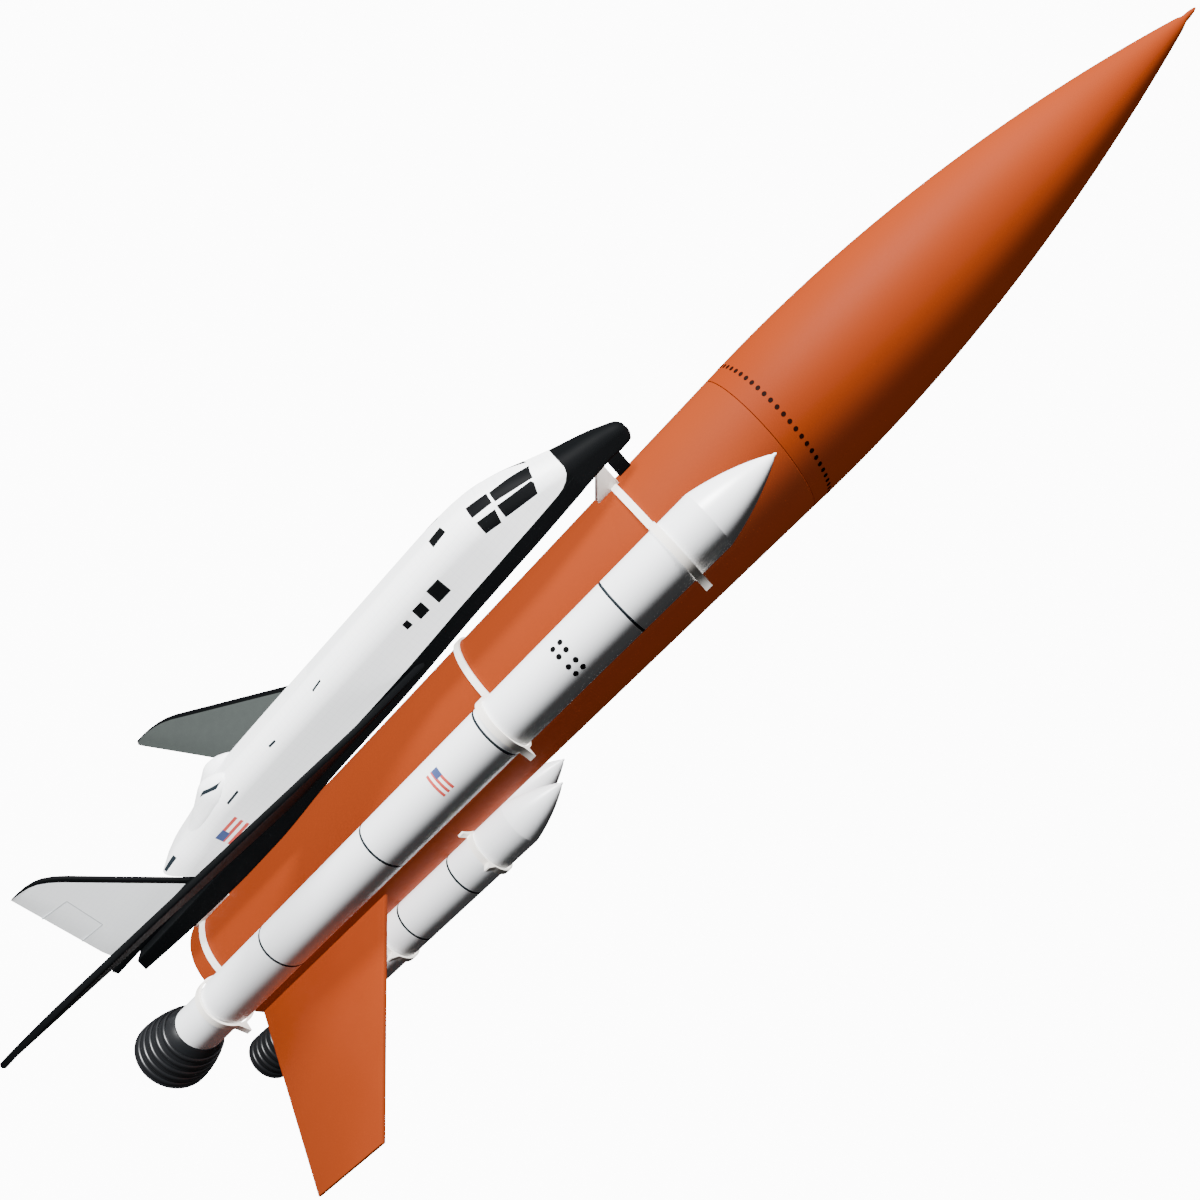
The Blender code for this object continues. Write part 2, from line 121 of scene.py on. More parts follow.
# A material with its tree, its shader and the piece's own coordinates
def newMaterial(name, values):
    material = bpy.data.materials.new(name)
    material.use_nodes = True
    tree = material.node_tree
    shader = tree.nodes["Principled BSDF"]
    shader.inputs["Roughness"].default_value = values["roughness"]
    shader.inputs["IOR"].default_value = values["ior"]
    shader.inputs["Metallic"].default_value = values.get("metallic", 0.0)
    shader.inputs["Coat Weight"].default_value = values.get("coat", 0.0)
    shader.inputs["Coat Roughness"].default_value = values.get("coatRoughness", 0.15)
    shader.inputs["Specular IOR Level"].default_value = values.get("specular", 0.5)
    coords = addNode(tree, "ShaderNodeTexCoord").outputs["Object"]
    return material, tree, shader, coords


# Colour that drifts between two close tones, and fine grain with a matching change of gloss
def surfaceGrain(tree, shader, coords, values):
    noise = {}
    for name, detail in noiseDetails.items():
        size = values[name + "Size"] * mm
        noise[name] = addNode(tree, "ShaderNodeTexNoise", {
            "Vector": coords, "Scale": 1 / size, "Detail": detail}).outputs["Fac"]
    first, second = (hexColour(tone) for tone in values["colours"])
    colour = addNode(tree, "ShaderNodeMix", {
        "Factor": noise["drift"], "A": first, "B": second}, data_type="RGBA")
    middle, change = values["roughness"], values["roughnessSpread"]
    gloss = addNode(tree, "ShaderNodeMapRange", {
        "Value": noise["grain"], "To Min": middle - change, "To Max": middle + change})
    tree.links.new(gloss.outputs["Result"], shader.inputs["Roughness"])
    return colour.outputs["Result"], noise["grain"]


# Gives a shader its colour, and its grain as a bump on top of any other
def dressShader(tree, shader, values, colour, grain, strength, under=None):
    inputs = {"Height": grain, "Distance": values["grainDepth"] * mm, "Strength": strength}
    if under is not None:
        inputs["Normal"] = under
    bump = addNode(tree, "ShaderNodeBump", inputs)
    tree.links.new(bump.outputs["Normal"], shader.inputs["Normal"])
    tree.links.new(colour, shader.inputs["Base Color"])


# Materials


# Satin enamel sprayed on a spiral-wound card tube: slight orange peel, and the faint helical
# line where the paper strips meet
def sprayedTube(name, values):
    material, tree, shader, coords = newMaterial(name, values)
    colour, grain = surfaceGrain(tree, shader, coords, values)
    x, y = values["centre"]
    pitch, width = values["spiralPitch"] * mm, values["spiralWidth"] * mm
    offset = addNode(tree, "ShaderNodeMapping", {"Vector": coords, "Location": (-x, -y, 0.0)})
    split = addNode(tree, "ShaderNodeSeparateXYZ", {"Vector": offset}).outputs
    angle = addNode(tree, "ShaderNodeMath", {0: split["Y"], 1: split["X"]}, operation="ARCTAN2")
    turns = addNode(tree, "ShaderNodeMath", {0: angle, 1: tau}, operation="DIVIDE")
    rise = addNode(tree, "ShaderNodeMath", {0: split["Z"], 1: pitch}, operation="DIVIDE")
    strip = addNode(tree, "ShaderNodeMath", {0: rise, 1: turns}, operation="ADD")
    part = addNode(tree, "ShaderNodeMath", {0: strip}, operation="FRACT")
    edge = addNode(tree, "ShaderNodeMath", {0: part, 1: 0.5}, operation="SUBTRACT")
    away = addNode(tree, "ShaderNodeMath", {0: edge}, operation="ABSOLUTE")
    groove = addNode(tree, "ShaderNodeMapRange", {"Value": away, "From Max": width / pitch})
    seam = addNode(tree, "ShaderNodeBump", {
        "Height": groove, "Distance": values["spiralDepth"] * mm,
        "Strength": bumpStrengths["spiral"]})
    dressShader(tree, shader, values, colour, grain, bumpStrengths["moulded"], seam)
    return material


# Moulded or sprayed plastic: even colour, very slight texture from the mould
def mouldedPlastic(name, values):
    material, tree, shader, coords = newMaterial(name, values)
    colour, grain = surfaceGrain(tree, shader, coords, values)
    dressShader(tree, shader, values, colour, grain, bumpStrengths["moulded"])
    return material


# Smooth-skinned foam with a printed tile pattern: squares along the orbiter's length, with fine
# grey lines between them
def printedFoam(name, values):
    material, tree, shader, coords = newMaterial(name, values)
    colour, grain = surfaceGrain(tree, shader, coords, values)
    fromAxis = addNode(tree, "ShaderNodeMapping", {
        "Vector": coords, "Location": (-axisX, -axisY, 0.0)})
    aligned = addNode(tree, "ShaderNodeMapping", {
        "Vector": fromAxis, "Rotation": (0.0, 0.0, -radians(orbiterAngle))})
    split = addNode(tree, "ShaderNodeSeparateXYZ", {"Vector": aligned}).outputs
    tile, near = values["tileSize"] * mm, {}
    for at, axis in enumerate(("Y", "Z")):
        row = addNode(tree, "ShaderNodeMath", {0: split[axis], 1: tile}, operation="DIVIDE")
        part = addNode(tree, "ShaderNodeMath", {0: row}, operation="FRACT")
        near[at] = addNode(tree, "ShaderNodeMapRange", {
            "Value": part, "From Max": values["lineShare"], "To Min": 1.0, "To Max": 0.0})
    lines = addNode(tree, "ShaderNodeMath", near, operation="MAXIMUM")
    amount = addNode(tree, "ShaderNodeMath", {0: lines, 1: values["lineStrength"]},
                     operation="MULTIPLY")
    printed = addNode(tree, "ShaderNodeMix", {
        "Factor": amount, "A": colour, "B": hexColour(values["lineColour"])}, data_type="RGBA")
    dressShader(tree, shader, values, printed.outputs["Result"], grain, bumpStrengths["foam"])
    return material


# Plain wound card: brown paper fibres running round the tube
def woundCard(name, values):
    material, tree, shader, coords = newMaterial(name, values)
    fibres = addNode(tree, "ShaderNodeMapping", {
        "Vector": coords, "Scale": (1.0, 1.0, values["fibreStretch"])})
    colour, grain = surfaceGrain(tree, shader, fibres, values)
    dressShader(tree, shader, values, colour, grain, bumpStrengths["card"])
    return material


# Values of the finishes; sizes and depths in mm

# satin enamel: broad soft highlights, with a fine orange peel close up
orangeEnamel = {
    "colours": ("#702b0f", "#762f13"), "driftSize": 60, "grainSize": 0.7, "grainDepth": 0.012,
    "roughness": 0.6, "roughnessSpread": 0.03, "ior": 1.45, "specular": 0.045,
    "centre": (axisX, axisY), "spiralPitch": 88.0, "spiralWidth": 1.1, "spiralDepth": 0.05}
# half-gloss enamel: nearly white all over, with a narrow pale sheen
whiteEnamel = {
    "colours": ("#e9ebee", "#eef0f2"), "driftSize": 40, "grainSize": 0.6, "grainDepth": 0.01,
    "roughness": 0.36, "roughnessSpread": 0.03, "ior": 1.5, "coat": 0.12, "coatRoughness": 0.25,
    "spiralPitch": 44.0, "spiralWidth": 0.7, "spiralDepth": 0.03}
# foam skin: matt white, with tile lines that only just show
whiteFoam = {
    "colours": ("#eceef0", "#f2f3f4"), "driftSize": 14, "grainSize": 0.5, "grainDepth": 0.015,
    "roughness": 0.5, "roughnessSpread": 0.05, "ior": 1.46,
    "tileSize": 2.6, "lineShare": 0.12, "lineColour": "#c3c8cc", "lineStrength": 0.28}
# printed film: flat even colour, a little smoother than what it lies on
decal = {
    "driftSize": 6, "grainSize": 0.5, "grainDepth": 0.004,
    "roughness": 0.35, "roughnessSpread": 0.03, "ior": 1.5}

tubeOrange = sprayedTube("orangeEnamelOnCardTube", orangeEnamel)
noseOrange = mouldedPlastic("orangeEnamelOnBlownStyrene", {
    **orangeEnamel, "colours": ("#6e280a", "#742c0e"), "grainSize": 0.9})
finOrange = mouldedPlastic("orangeEnamelOnSheetStyrene", {
    **orangeEnamel, "grainSize": 0.8, "driftSize": 25})
boosterWhites = {
    name: sprayedTube("whiteEnamelOnTube_" + name, {**whiteEnamel, "centre": centre})
    for name, centre in boosterCentres.items()}
mouldedWhite = mouldedPlastic("whiteMouldedStyrene", {**whiteEnamel, "grainSize": 0.8})
strapWhite = mouldedPlastic("creamWhiteMouldedStyrene", {
    **whiteEnamel, "colours": ("#efeae2", "#f3efe8"), "driftSize": 8})
foamWhite = printedFoam("whiteSkinnedFoam", whiteFoam)
foamPale = printedFoam("paleGreyPrintedFoam", {
    **whiteFoam, "colours": ("#e4e7e9", "#eaedee"), "driftSize": 10, "lineStrength": 0.2})
# dark grey on the wings' upper faces: matt and faintly pitted
foamGrey = mouldedPlastic("darkGreyFoam", {
    "colours": ("#292d2c", "#2e3331"), "driftSize": 5, "grainSize": 0.6, "grainDepth": 0.02,
    "roughness": 0.55, "roughnessSpread": 0.06, "ior": 1.46})
# black with hardly any shine, so that its edges and not its highlights show its form
tileBlack = mouldedPlastic("blackSatinPlastic", {
    "colours": ("#050607", "#070809"), "driftSize": 12, "grainSize": 0.6, "grainDepth": 0.015,
    "roughness": 0.6, "roughnessSpread": 0.04, "ior": 1.5, "specular": 0.02})
# dark enamel with a slight metal sheen that picks out each rib
bellBlack = mouldedPlastic("gunmetalEnamelOnStyrene", {
    "colours": ("#131416", "#181a1d"), "driftSize": 6, "grainSize": 0.5, "grainDepth": 0.012,
    "roughness": 0.34, "roughnessSpread": 0.04, "ior": 1.5, "metallic": 0.3})
glossBlack = mouldedPlastic("blackGlossDecal", {
    **decal, "colours": ("#08090a", "#0a0b0c"), "driftSize": 8, "roughness": 0.5,
    "specular": 0.015})
# blue-black pinstripes, also used for the orbiter's lines of painted shade
lineDark = mouldedPlastic("blueBlackPinstripeAndShadeLines", {
    **decal, "colours": ("#141b20", "#1a2227"), "roughness": 0.4, "specular": 0.1})
lineGrey = mouldedPlastic("paleGreyPrintedLine", {
    **decal, "colours": ("#a9adb0", "#b3b7b9"), "roughness": 0.5})
# dark brown discs for the ring of holes round the nose: painted shade standing for the holes'
# insides
holeShadeDark = mouldedPlastic("darkBrownPaintedHoleShade", {
    **decal, "colours": ("#120402", "#180603"), "roughness": 0.7, "specular": 0.03})
stripeWhite = mouldedPlastic("whiteDecal", {**decal, "colours": ("#f0f0f1", "#f4f4f5")})
stripeRed = mouldedPlastic("redDecal", {**decal, "colours": ("#b5423c", "#be4c45")})
stripeBlue = mouldedPlastic("blueDecal", {**decal, "colours": ("#39466f", "#414f7a")})
cardBrown = woundCard("kraftCard", {
    "colours": ("#a98a5f", "#b99a70"), "driftSize": 3, "grainSize": 0.35, "grainDepth": 0.03,
    "roughness": 0.8, "roughnessSpread": 0.08, "ior": 1.45, "fibreStretch": 6.0})
print("materials ready")

# Pieces

litAlone = {"orbiter": bpy.data.collections.new("orbiterPieces"),
            "orange": bpy.data.collections.new("orangePieces")}
roundSteps = 96  # sides of a round form
tipTurns = (18, 36, 54, 72)  # degrees down from a nose's tip
weldDistance = 0.002  # mm


# A finished bmesh as a piece that rides on a body and stands for the given CAD nodes; edges
# sharper than the angle in degrees stay crisp
def finishPiece(name, form, materials, body, nodes=(), sharp=40.0):
    bmesh.ops.remove_doubles(form, verts=form.verts, dist=weldDistance * mm)
    bmesh.ops.recalc_face_normals(form, faces=form.faces)
    mesh = bpy.data.meshes.new(name)
    form.to_mesh(mesh)
    form.free()
    for material in materials:
        mesh.materials.append(material)
    mesh.shade_smooth()
    mesh.set_sharp_from_angle(angle=radians(sharp))
    piece = bpy.data.objects.new(name, mesh)
    bpy.context.scene.collection.objects.link(piece)
    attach(piece, body)
    if body == "orbiter":
        litAlone["orbiter"].objects.link(piece)
    if materials[0] in (tubeOrange, noseOrange, finOrange):
        litAlone["orange"].objects.link(piece)
    if nodes:
        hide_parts(*nodes)


# "long_booster_right" as "longBoosterRight"
def camelName(node):
    first, *others = node.split("_")
    return first + "".join(word.capitalize() for word in others)


# A piece that stands for one CAD node and is named after it
def finishNode(node, form, materials, body, sharp=40.0):
    finishPiece(camelName(node), form, materials, body, [node], sharp)


# Turns a profile of (radius, height) in mm about an upright line through centre, as a node's
# piece. A closed profile comes back up its bore; an open one starts and ends on the line.
def turnedNode(node, centre, profile, material, body="rocket", segments=roundSteps,
               closed=False):
    form, rings = bmesh.new(), []
    for radius, z in profile:
        turns = [tau * step / segments for step in range(segments if radius > 1e-6 else 1)]
        rings.append([form.verts.new((centre[0] + radius * mm * cos(turn),
                                      centre[1] + radius * mm * sin(turn),
                                      tailHeight + z * mm)) for turn in turns])
    pairs = list(zip(rings, rings[1:]))
    if closed:
        pairs.append((rings[-1], rings[0]))
    for upper, lower in pairs:
        for step in range(segments):
            after = (step + 1) % segments
            corners = []
            for ring, at in ((upper, step), (upper, after), (lower, after), (lower, step)):
                corner = ring[at % len(ring)]
                if corner not in corners:
                    corners.append(corner)
            if len(corners) > 2:
                form.faces.new(corners)
    finishNode(node, form, [material], body, sharp=32.0)


# Radius of a pointed nose at a distance above its base
def ogive(radius, length, above):
    sweep = (radius ** 2 + length ** 2) / (2 * radius)
    return sqrt(sweep ** 2 - above ** 2) + radius - sweep


# A nose's profile from its rounded tip down to its base; fullness 1 is an ogive and 0 a cone
def noseProfile(radius, base, tip, tipRadius, fullness, rows):
    length = tip - base
    profile = []
    for row in range(rows + 1):
        share = 1 - row / rows
        wide = fullness * ogive(radius, length, length * share)
        profile.append((wide + (1 - fullness) * radius * (1 - share), base + length * share))
    blunt = [point for point in profile if point[0] > tipRadius]
    top = blunt[0][1]
    cap = [(tipRadius * sin(radians(turn)), top + (tip - top) * cos(radians(turn)))
           for turn in tipTurns]
    return [(0.0, tip)] + cap + blunt


# Slope at a row of a table, kept flat where the values turn round, so that nothing overshoots
def slopeAt(before, middle, after, column):
    if before is middle or after is middle:
        other = after if before is middle else before
        return (other[column] - middle[column]) / (other[0] - middle[0])
    first = (middle[column] - before[column]) / (middle[0] - before[0])
    second = (after[column] - middle[column]) / (after[0] - middle[0])
    return 2 * first * second / (first + second) if first * second > 0 else 0.0


# Values between the rows of a table whose first column falls, by smooth curves through the rows
def smoothRow(table, at):
    if at >= table[0][0]:
        return table[0][1:]
    if at <= table[-1][0]:
        return table[-1][1:]
    row = next(i for i in range(len(table) - 1) if table[i][0] >= at >= table[i + 1][0])
    upper, lower = table[row], table[row + 1]
    before, after = table[max(row - 1, 0)], table[min(row + 2, len(table) - 1)]
    span = lower[0] - upper[0]
    share = (at - upper[0]) / span
    squared, cubed = share ** 2, share ** 3
    found = []
    for column in range(1, len(upper)):
        slopeIn = slopeAt(before, upper, lower, column) * span
        slopeOut = slopeAt(upper, lower, after, column) * span
        ends = (2 * cubed - 3 * squared + 1) * upper[column]
        ends += (3 * squared - 2 * cubed) * lower[column]
        found.append(ends + (cubed - 2 * squared + share) * slopeIn
                     + (cubed - squared) * slopeOut)
    return found


# Heights from the top row of a table to its last, bunched towards the top by a bend over 1
def heightsDown(table, rows, bend=1.0):
    top, foot = table[0][0], table[-1][0]
    return [top - (top - foot) * (row / rows) ** bend for row in range(rows + 1)]


# Closed skin between rings of equal length, with flat ends
def lofted(rings):
    form = bmesh.new()
    made = [[form.verts.new(point) for point in ring] for ring in rings]
    for upper, lower in zip(made, made[1:]):
        count = len(upper)
        for at in range(count):
            after = (at + 1) % count
            form.faces.new((upper[at], upper[after], lower[after], lower[at]))
    form.faces.new(made[0])
    form.faces.new(made[-1])
    return form


# A flat outline in mm, thickened evenly about its own plane and set in place by a function
def plateInto(form, outline, thickness, setPlace, edge):
    plate = bmesh.new()
    low, high = ([plate.verts.new((u, v, w)) for u, v in outline]
                 for w in (-thickness / 2, thickness / 2))
    rims = list(plate.faces.new(low[::-1]).edges) + list(plate.faces.new(high).edges)
    for at in range(len(outline)):
        after = (at + 1) % len(outline)
        plate.faces.new((low[at], low[after], high[after], high[at]))
    bmesh.ops.bevel(plate, geom=rims, offset=edge, segments=2, affect="EDGES", profile=0.5,
                    clamp_overlap=True)
    bmesh.ops.triangulate(plate, faces=[face for face in plate.faces if len(face.verts) > 4])
    made = {vert: form.verts.new(setPlace(*vert.co)) for vert in plate.verts}
    for face in plate.faces:
        form.faces.new([made[vert] for vert in face.verts])
    plate.free()
    return form


# A thin decal or marking: a convex outline in a surface's own two coordinates, in mm, laid on
# the surface as a closed sheet a few hundredths of a millimetre proud of it
def markInto(form, surface, outline, cell, proud, sunk=0.06, material=0):
    flat = bmesh.new()
    us, vs = [u for u, v in outline], [v for u, v in outline]
    wide, high = max(us) - min(us), max(vs) - min(vs)
    across, along = max(1, ceil(wide / cell)), max(1, ceil(high / cell))
    grid = [[flat.verts.new((min(us) + wide * i / across, min(vs) + high * j / along, 0.0))
             for j in range(along + 1)] for i in range(across + 1)]
    for i in range(across):
        for j in range(along):
            flat.faces.new((grid[i][j], grid[i + 1][j], grid[i + 1][j + 1], grid[i][j + 1]))
    edges = zip(outline, outline[1:] + outline[:1])
    area = sum(start[0] * end[1] - end[0] * start[1] for start, end in edges)
    corners = outline if area > 0 else outline[::-1]
    for start, end in zip(corners, corners[1:] + corners[:1]):
        bmesh.ops.bisect_plane(
            flat, geom=flat.verts[:] + flat.edges[:] + flat.faces[:], dist=1e-5,
            plane_co=(start[0], start[1], 0.0),
            plane_no=(end[1] - start[1], start[0] - end[0], 0.0), clear_outer=True)
    top, base = {}, {}
    for vert in flat.verts:
        point, normal = surface(vert.co.x, vert.co.y)
        top[vert] = form.verts.new(point + normal * proud * mm)
        base[vert] = form.verts.new(point - normal * sunk * mm)
    for face in flat.faces:
        form.faces.new([top[v] for v in face.verts]).material_index = material
        form.faces.new([base[v] for v in face.verts][::-1]).material_index = material
    for edge in flat.edges:
        if len(edge.link_faces) == 1:
            a, b = edge.verts
            form.faces.new((top[a], top[b], base[b], base[a])).material_index = material
    flat.free()


def rectangle(u, v, width, height):
    return [(u - width / 2, v - height / 2), (u + width / 2, v - height / 2),
            (u + width / 2, v + height / 2), (u - width / 2, v + height / 2)]


# Geometry nodes


# An empty tree with inputs named for whole and real numbers, a centre and a material, and its
# inputs' sockets
def newTree(name, whole, real):
    tree = bpy.data.node_groups.new(name, "GeometryNodeTree")
    sockets = [("Geometry", "Geometry")] + [(label, "Int") for label in whole]
    sockets += [(label, "Float") for label in real + ("Centre X", "Centre Y")]
    for label, kind in sockets + [("Material", "Material")]:
        tree.interface.new_socket(label, in_out="INPUT", socket_type="NodeSocket" + kind)
    tree.interface.new_socket("Geometry", in_out="OUTPUT", socket_type="NodeSocketGeometry")
    return tree, addNode(tree, "NodeGroupInput").outputs


# Copies of a form at a number of points, made real
def copies(tree, count, spot, form, **turned):
    line = addNode(tree, "GeometryNodeMeshLine", {"Count": count, "Offset": (0.0, 0.0, 0.0)})
    position = addNode(tree, "ShaderNodeCombineXYZ", spot)
    points = addNode(tree, "GeometryNodeSetPosition", {"Geometry": line, "Position": position})
    placed = addNode(tree, "GeometryNodeInstanceOnPoints", {
        "Points": points, "Instance": form, **turned})
    return addNode(tree, "GeometryNodeRealizeInstances", {0: placed})


# Ends a tree: its form in the material that it was given
def paintOut(tree, form, material):
    painted = addNode(tree, "GeometryNodeSetMaterial", {"Geometry": form, "Material": material})
    addNode(tree, "NodeGroupOutput", {0: painted})


dotSides = 14


# Small round dots in rows and columns on an upright round tube
def dotTree():
    tree, get = newTree("dotsRoundTube", ("Columns", "Rows"), (
        "Tube radius", "First angle", "Angle step", "First height", "Height step",
        "Dot radius", "Dot depth"))
    index = addNode(tree, "GeometryNodeInputIndex")
    column = addNode(tree, "ShaderNodeMath", {0: index, 1: get["Columns"]}, operation="MODULO")
    passed = addNode(tree, "ShaderNodeMath", {0: index, 1: get["Columns"]}, operation="DIVIDE")
    row = addNode(tree, "ShaderNodeMath", {0: passed}, operation="FLOOR")
    angle = addNode(tree, "ShaderNodeMath", {
        0: column, 1: get["Angle step"], 2: get["First angle"]}, operation="MULTIPLY_ADD")
    spot = {}
    for axis, wave in (("X", "COSINE"), ("Y", "SINE")):
        share = addNode(tree, "ShaderNodeMath", {0: angle}, operation=wave)
        spot[axis] = addNode(tree, "ShaderNodeMath", {
            0: share, 1: get["Tube radius"], 2: get["Centre " + axis]}, operation="MULTIPLY_ADD")
    spot["Z"] = addNode(tree, "ShaderNodeMath", {
        0: row, 1: get["Height step"], 2: get["First height"]}, operation="MULTIPLY_ADD")
    disc = addNode(tree, "GeometryNodeMeshCylinder", {
        "Vertices": dotSides, "Radius": get["Dot radius"], "Depth": get["Dot depth"]})
    facing = addNode(tree, "ShaderNodeCombineXYZ", {"X": 0.0, "Y": pi / 2, "Z": angle})
    turned = addNode(tree, "FunctionNodeEulerToRotation", {0: facing})
    count = addNode(tree, "ShaderNodeMath", {0: get["Columns"], 1: get["Rows"]},
                    operation="MULTIPLY")
    paintOut(tree, copies(tree, count, spot, disc, Rotation=turned), get["Material"])
    return tree


# Level rings one above another, such as ribs round a bell or painted lines round a tube
def ringTree():
    tree, get = newTree("ringsUpTube", ("Rings", "Roundness"), (
        "Radius", "Lowest height", "Height step", "Ring width", "Ring proud"))
    index = addNode(tree, "GeometryNodeInputIndex")
    z = addNode(tree, "ShaderNodeMath", {
        0: index, 1: get["Height step"], 2: get["Lowest height"]}, operation="MULTIPLY_ADD")
    circle, section = (addNode(tree, "GeometryNodeCurvePrimitiveCircle", {
        "Resolution": steps, "Radius": 1.0}) for steps in (roundSteps, get["Roundness"]))
    size = addNode(tree, "ShaderNodeCombineXYZ", {"X": get["Radius"], "Y": get["Radius"], "Z": 1.0})
    spot = {"X": get["Centre X"], "Y": get["Centre Y"], "Z": z}
    rings = copies(tree, get["Rings"], spot, circle, Scale=size)
    flat = addNode(tree, "ShaderNodeCombineXYZ", {
        "X": get["Ring proud"], "Y": get["Ring width"], "Z": 1.0})
    shaped = addNode(tree, "GeometryNodeTransform", {"Geometry": section, "Scale": flat})
    upright = addNode(tree, "GeometryNodeSetCurveNormal", {0: rings}, mode="Z_UP")
    mesh = addNode(tree, "GeometryNodeCurveToMesh", {"Curve": upright, "Profile Curve": shaped})
    paintOut(tree, mesh, get["Material"])
    return tree


# Runs a tree round a centre with the given values and keeps the result as a plain mesh
def grow(tree, centre, material, values):
    seed = bpy.data.objects.new("seed", bpy.data.meshes.new("seed"))
    bpy.context.scene.collection.objects.link(seed)
    modifier = seed.modifiers.new("Grow", "NODES")
    modifier.node_group = tree
    sockets = {item.name: item.identifier for item in tree.interface.items_tree
               if item.item_type == "SOCKET" and item.in_out == "INPUT"}
    values = {**values, "Centre X": centre[0], "Centre Y": centre[1], "Material": material}
    for label, value in values.items():
        modifier[sockets[label]] = value
    depsgraph = bpy.context.evaluated_depsgraph_get()
    mesh = bpy.data.meshes.new_from_object(seed.evaluated_get(depsgraph))
    bpy.data.objects.remove(seed)
    return mesh


# Several grown meshes as one piece with one material
def grownPiece(name, meshes, material, body):
    form = bmesh.new()
    for mesh in meshes:
        form.from_mesh(mesh)
        bpy.data.meshes.remove(mesh)
    for face in form.faces:
        face.material_index = 0
    finishPiece(name, form, [material], body, ())


dotsRoundTube = dotTree()
ringsUpTube = ringTree()

# Tank, all in mm

tank = {"radius": 33.0, "wall": 1.2, "top": 350.0, "edge": 0.15, "segments": 160}
noseCone = {
    "low": 350.12, "collar": 8.0, "tip": 544.8, "tipRadius": 1.4, "wall": 1.8, "rows": 56,
    "shoulder": 34.0, "plugRadius": 31.5, "plugEdge": 0.6,
    "hollowTip": 519.6, "hollowTipRadius": 0.6, "hollowRows": 24}
motorMount = {
    "bore": 12.05, "outside": 12.85, "low": -6.0, "high": 84.0,
    "ringLow": 2.0, "ringHigh": 5.0, "ringGap": 0.3}
noseDots = {"count": 60, "height": 357.5, "radius": 0.92, "proud": 0.08, "depth": 0.3,
            "firstAngle": 0.02}


def makeTank():
    centre = (axisX, axisY)
    radius, inner, edge = tank["radius"], tank["radius"] - tank["wall"], tank["edge"]
    turnedNode("tank_tube", centre, [
        (radius, tank["top"] - edge), (radius, edge), (radius - edge, 0.0), (inner, 0.0),
        (inner, tank["top"]), (radius - edge, tank["top"])],
        tubeOrange, segments=tank["segments"], closed=True)

    low, base = noseCone["low"], noseCone["low"] + noseCone["collar"]
    plug, soft = noseCone["plugRadius"], noseCone["plugEdge"]
    foot = low - noseCone["shoulder"]
    outside = noseProfile(radius, base, noseCone["tip"], noseCone["tipRadius"], 1.0,
                          noseCone["rows"])
    outside += [(radius, low + edge), (radius - edge, low), (plug, low), (plug, foot + soft),
                (plug - soft, foot)]
    inside = noseProfile(radius - noseCone["wall"], base, noseCone["hollowTip"],
                         noseCone["hollowTipRadius"], 1.0, noseCone["hollowRows"])
    inside += [(plug - noseCone["wall"], low), (plug - noseCone["wall"], foot)]
    turnedNode("nose_cone", centre, outside + inside[::-1], noseOrange,
               "nose_cone", tank["segments"])
    # the holes are dark discs of painted shade, a little proud of the skin
    dots = grow(dotsRoundTube, centre, holeShadeDark, {
        "Columns": noseDots["count"], "Rows": 1,
        "Tube radius": (radius + noseDots["proud"] - noseDots["depth"] / 2) * mm,
        "First angle": noseDots["firstAngle"], "Angle step": tau / noseDots["count"],
        "First height": tailHeight + noseDots["height"] * mm, "Height step": 0.0,
        "Dot radius": noseDots["radius"] * mm, "Dot depth": noseDots["depth"] * mm})
    grownPiece("noseDots", [dots], holeShadeDark, "nose_cone")

    mount, gap = motorMount["outside"], motorMount["ringGap"]
    for node, outer, bore, low, high in (
            ("motor_tube", mount, motorMount["bore"], motorMount["low"], motorMount["high"]),
            ("centering_ring", inner - gap, mount + gap,
             motorMount["ringLow"], motorMount["ringHigh"])):
        turnedNode(node, centre, [(outer, high), (outer, low), (bore, low), (bore, high)],
                   cardBrown, closed=True)


makeTank()
print("tank ready")

# Boosters, all in mm

longBooster = {
    "radius": 12.4, "shoulder": 313.0, "tip": 344.9, "bellRadius": 18.5,
    "firstLine": 57.0, "lineStep": 70.7, "lines": 4,
    "names": ("long_booster_right", "long_booster_left")}
shortBooster = {
    "radius": 11.8, "shoulder": 164.0, "tip": 192.5, "bellRadius": 13.0,
    "firstLine": 89.0, "lineStep": 36.5, "lines": 2,
    "names": ("short_booster_right", "short_booster_left")}
boosterShared = {
    "bodyLow": 13.6, "skirtLow": -9.0, "skirtInset": 0.5, "edge": 0.3,
    "tipRadius": 0.8, "fullness": 0.45, "noseRows": 28,
    "lineWidth": 0.55, "lineProud": 0.1, "lineRoundness": 8}
bell = {
    "low": -31.0, "wall": 1.2, "bend": 0.8, "rows": 24,
    "lip": 0.7, "lipTop": 0.8, "lipEdge": 0.2,
    "boreShare": 0.62, "throatShare": 0.34, "boreRows": 14, "boreTaper": 0.5,
    "ribs": 5, "ribWidth": 1.15, "ribProud": 0.75, "ribPitch": 3.6, "lowestRib": -28.6,
    "ribRoundness": 12}


# A bell's radius at a height, swelling from its throat to its exit
def bellRadiusAt(throat, exitRadius, z):
    top = boosterShared["skirtLow"] - boosterShared["edge"]
    down = max(0.0, min(1.0, (top - z) / (top - bell["low"])))
    return throat + (exitRadius - bell["lip"] - throat) * sin(radians(90 * down)) ** bell["bend"]


def growRings(centre, material, count, radius, first, step, width, proud, roundness):
    return grow(ringsUpTube, centre, material, {
        "Rings": count, "Radius": radius * mm, "Lowest height": tailHeight + first * mm,
        "Height step": step * mm, "Ring width": width * mm, "Ring proud": proud * mm,
        "Roundness": roundness})


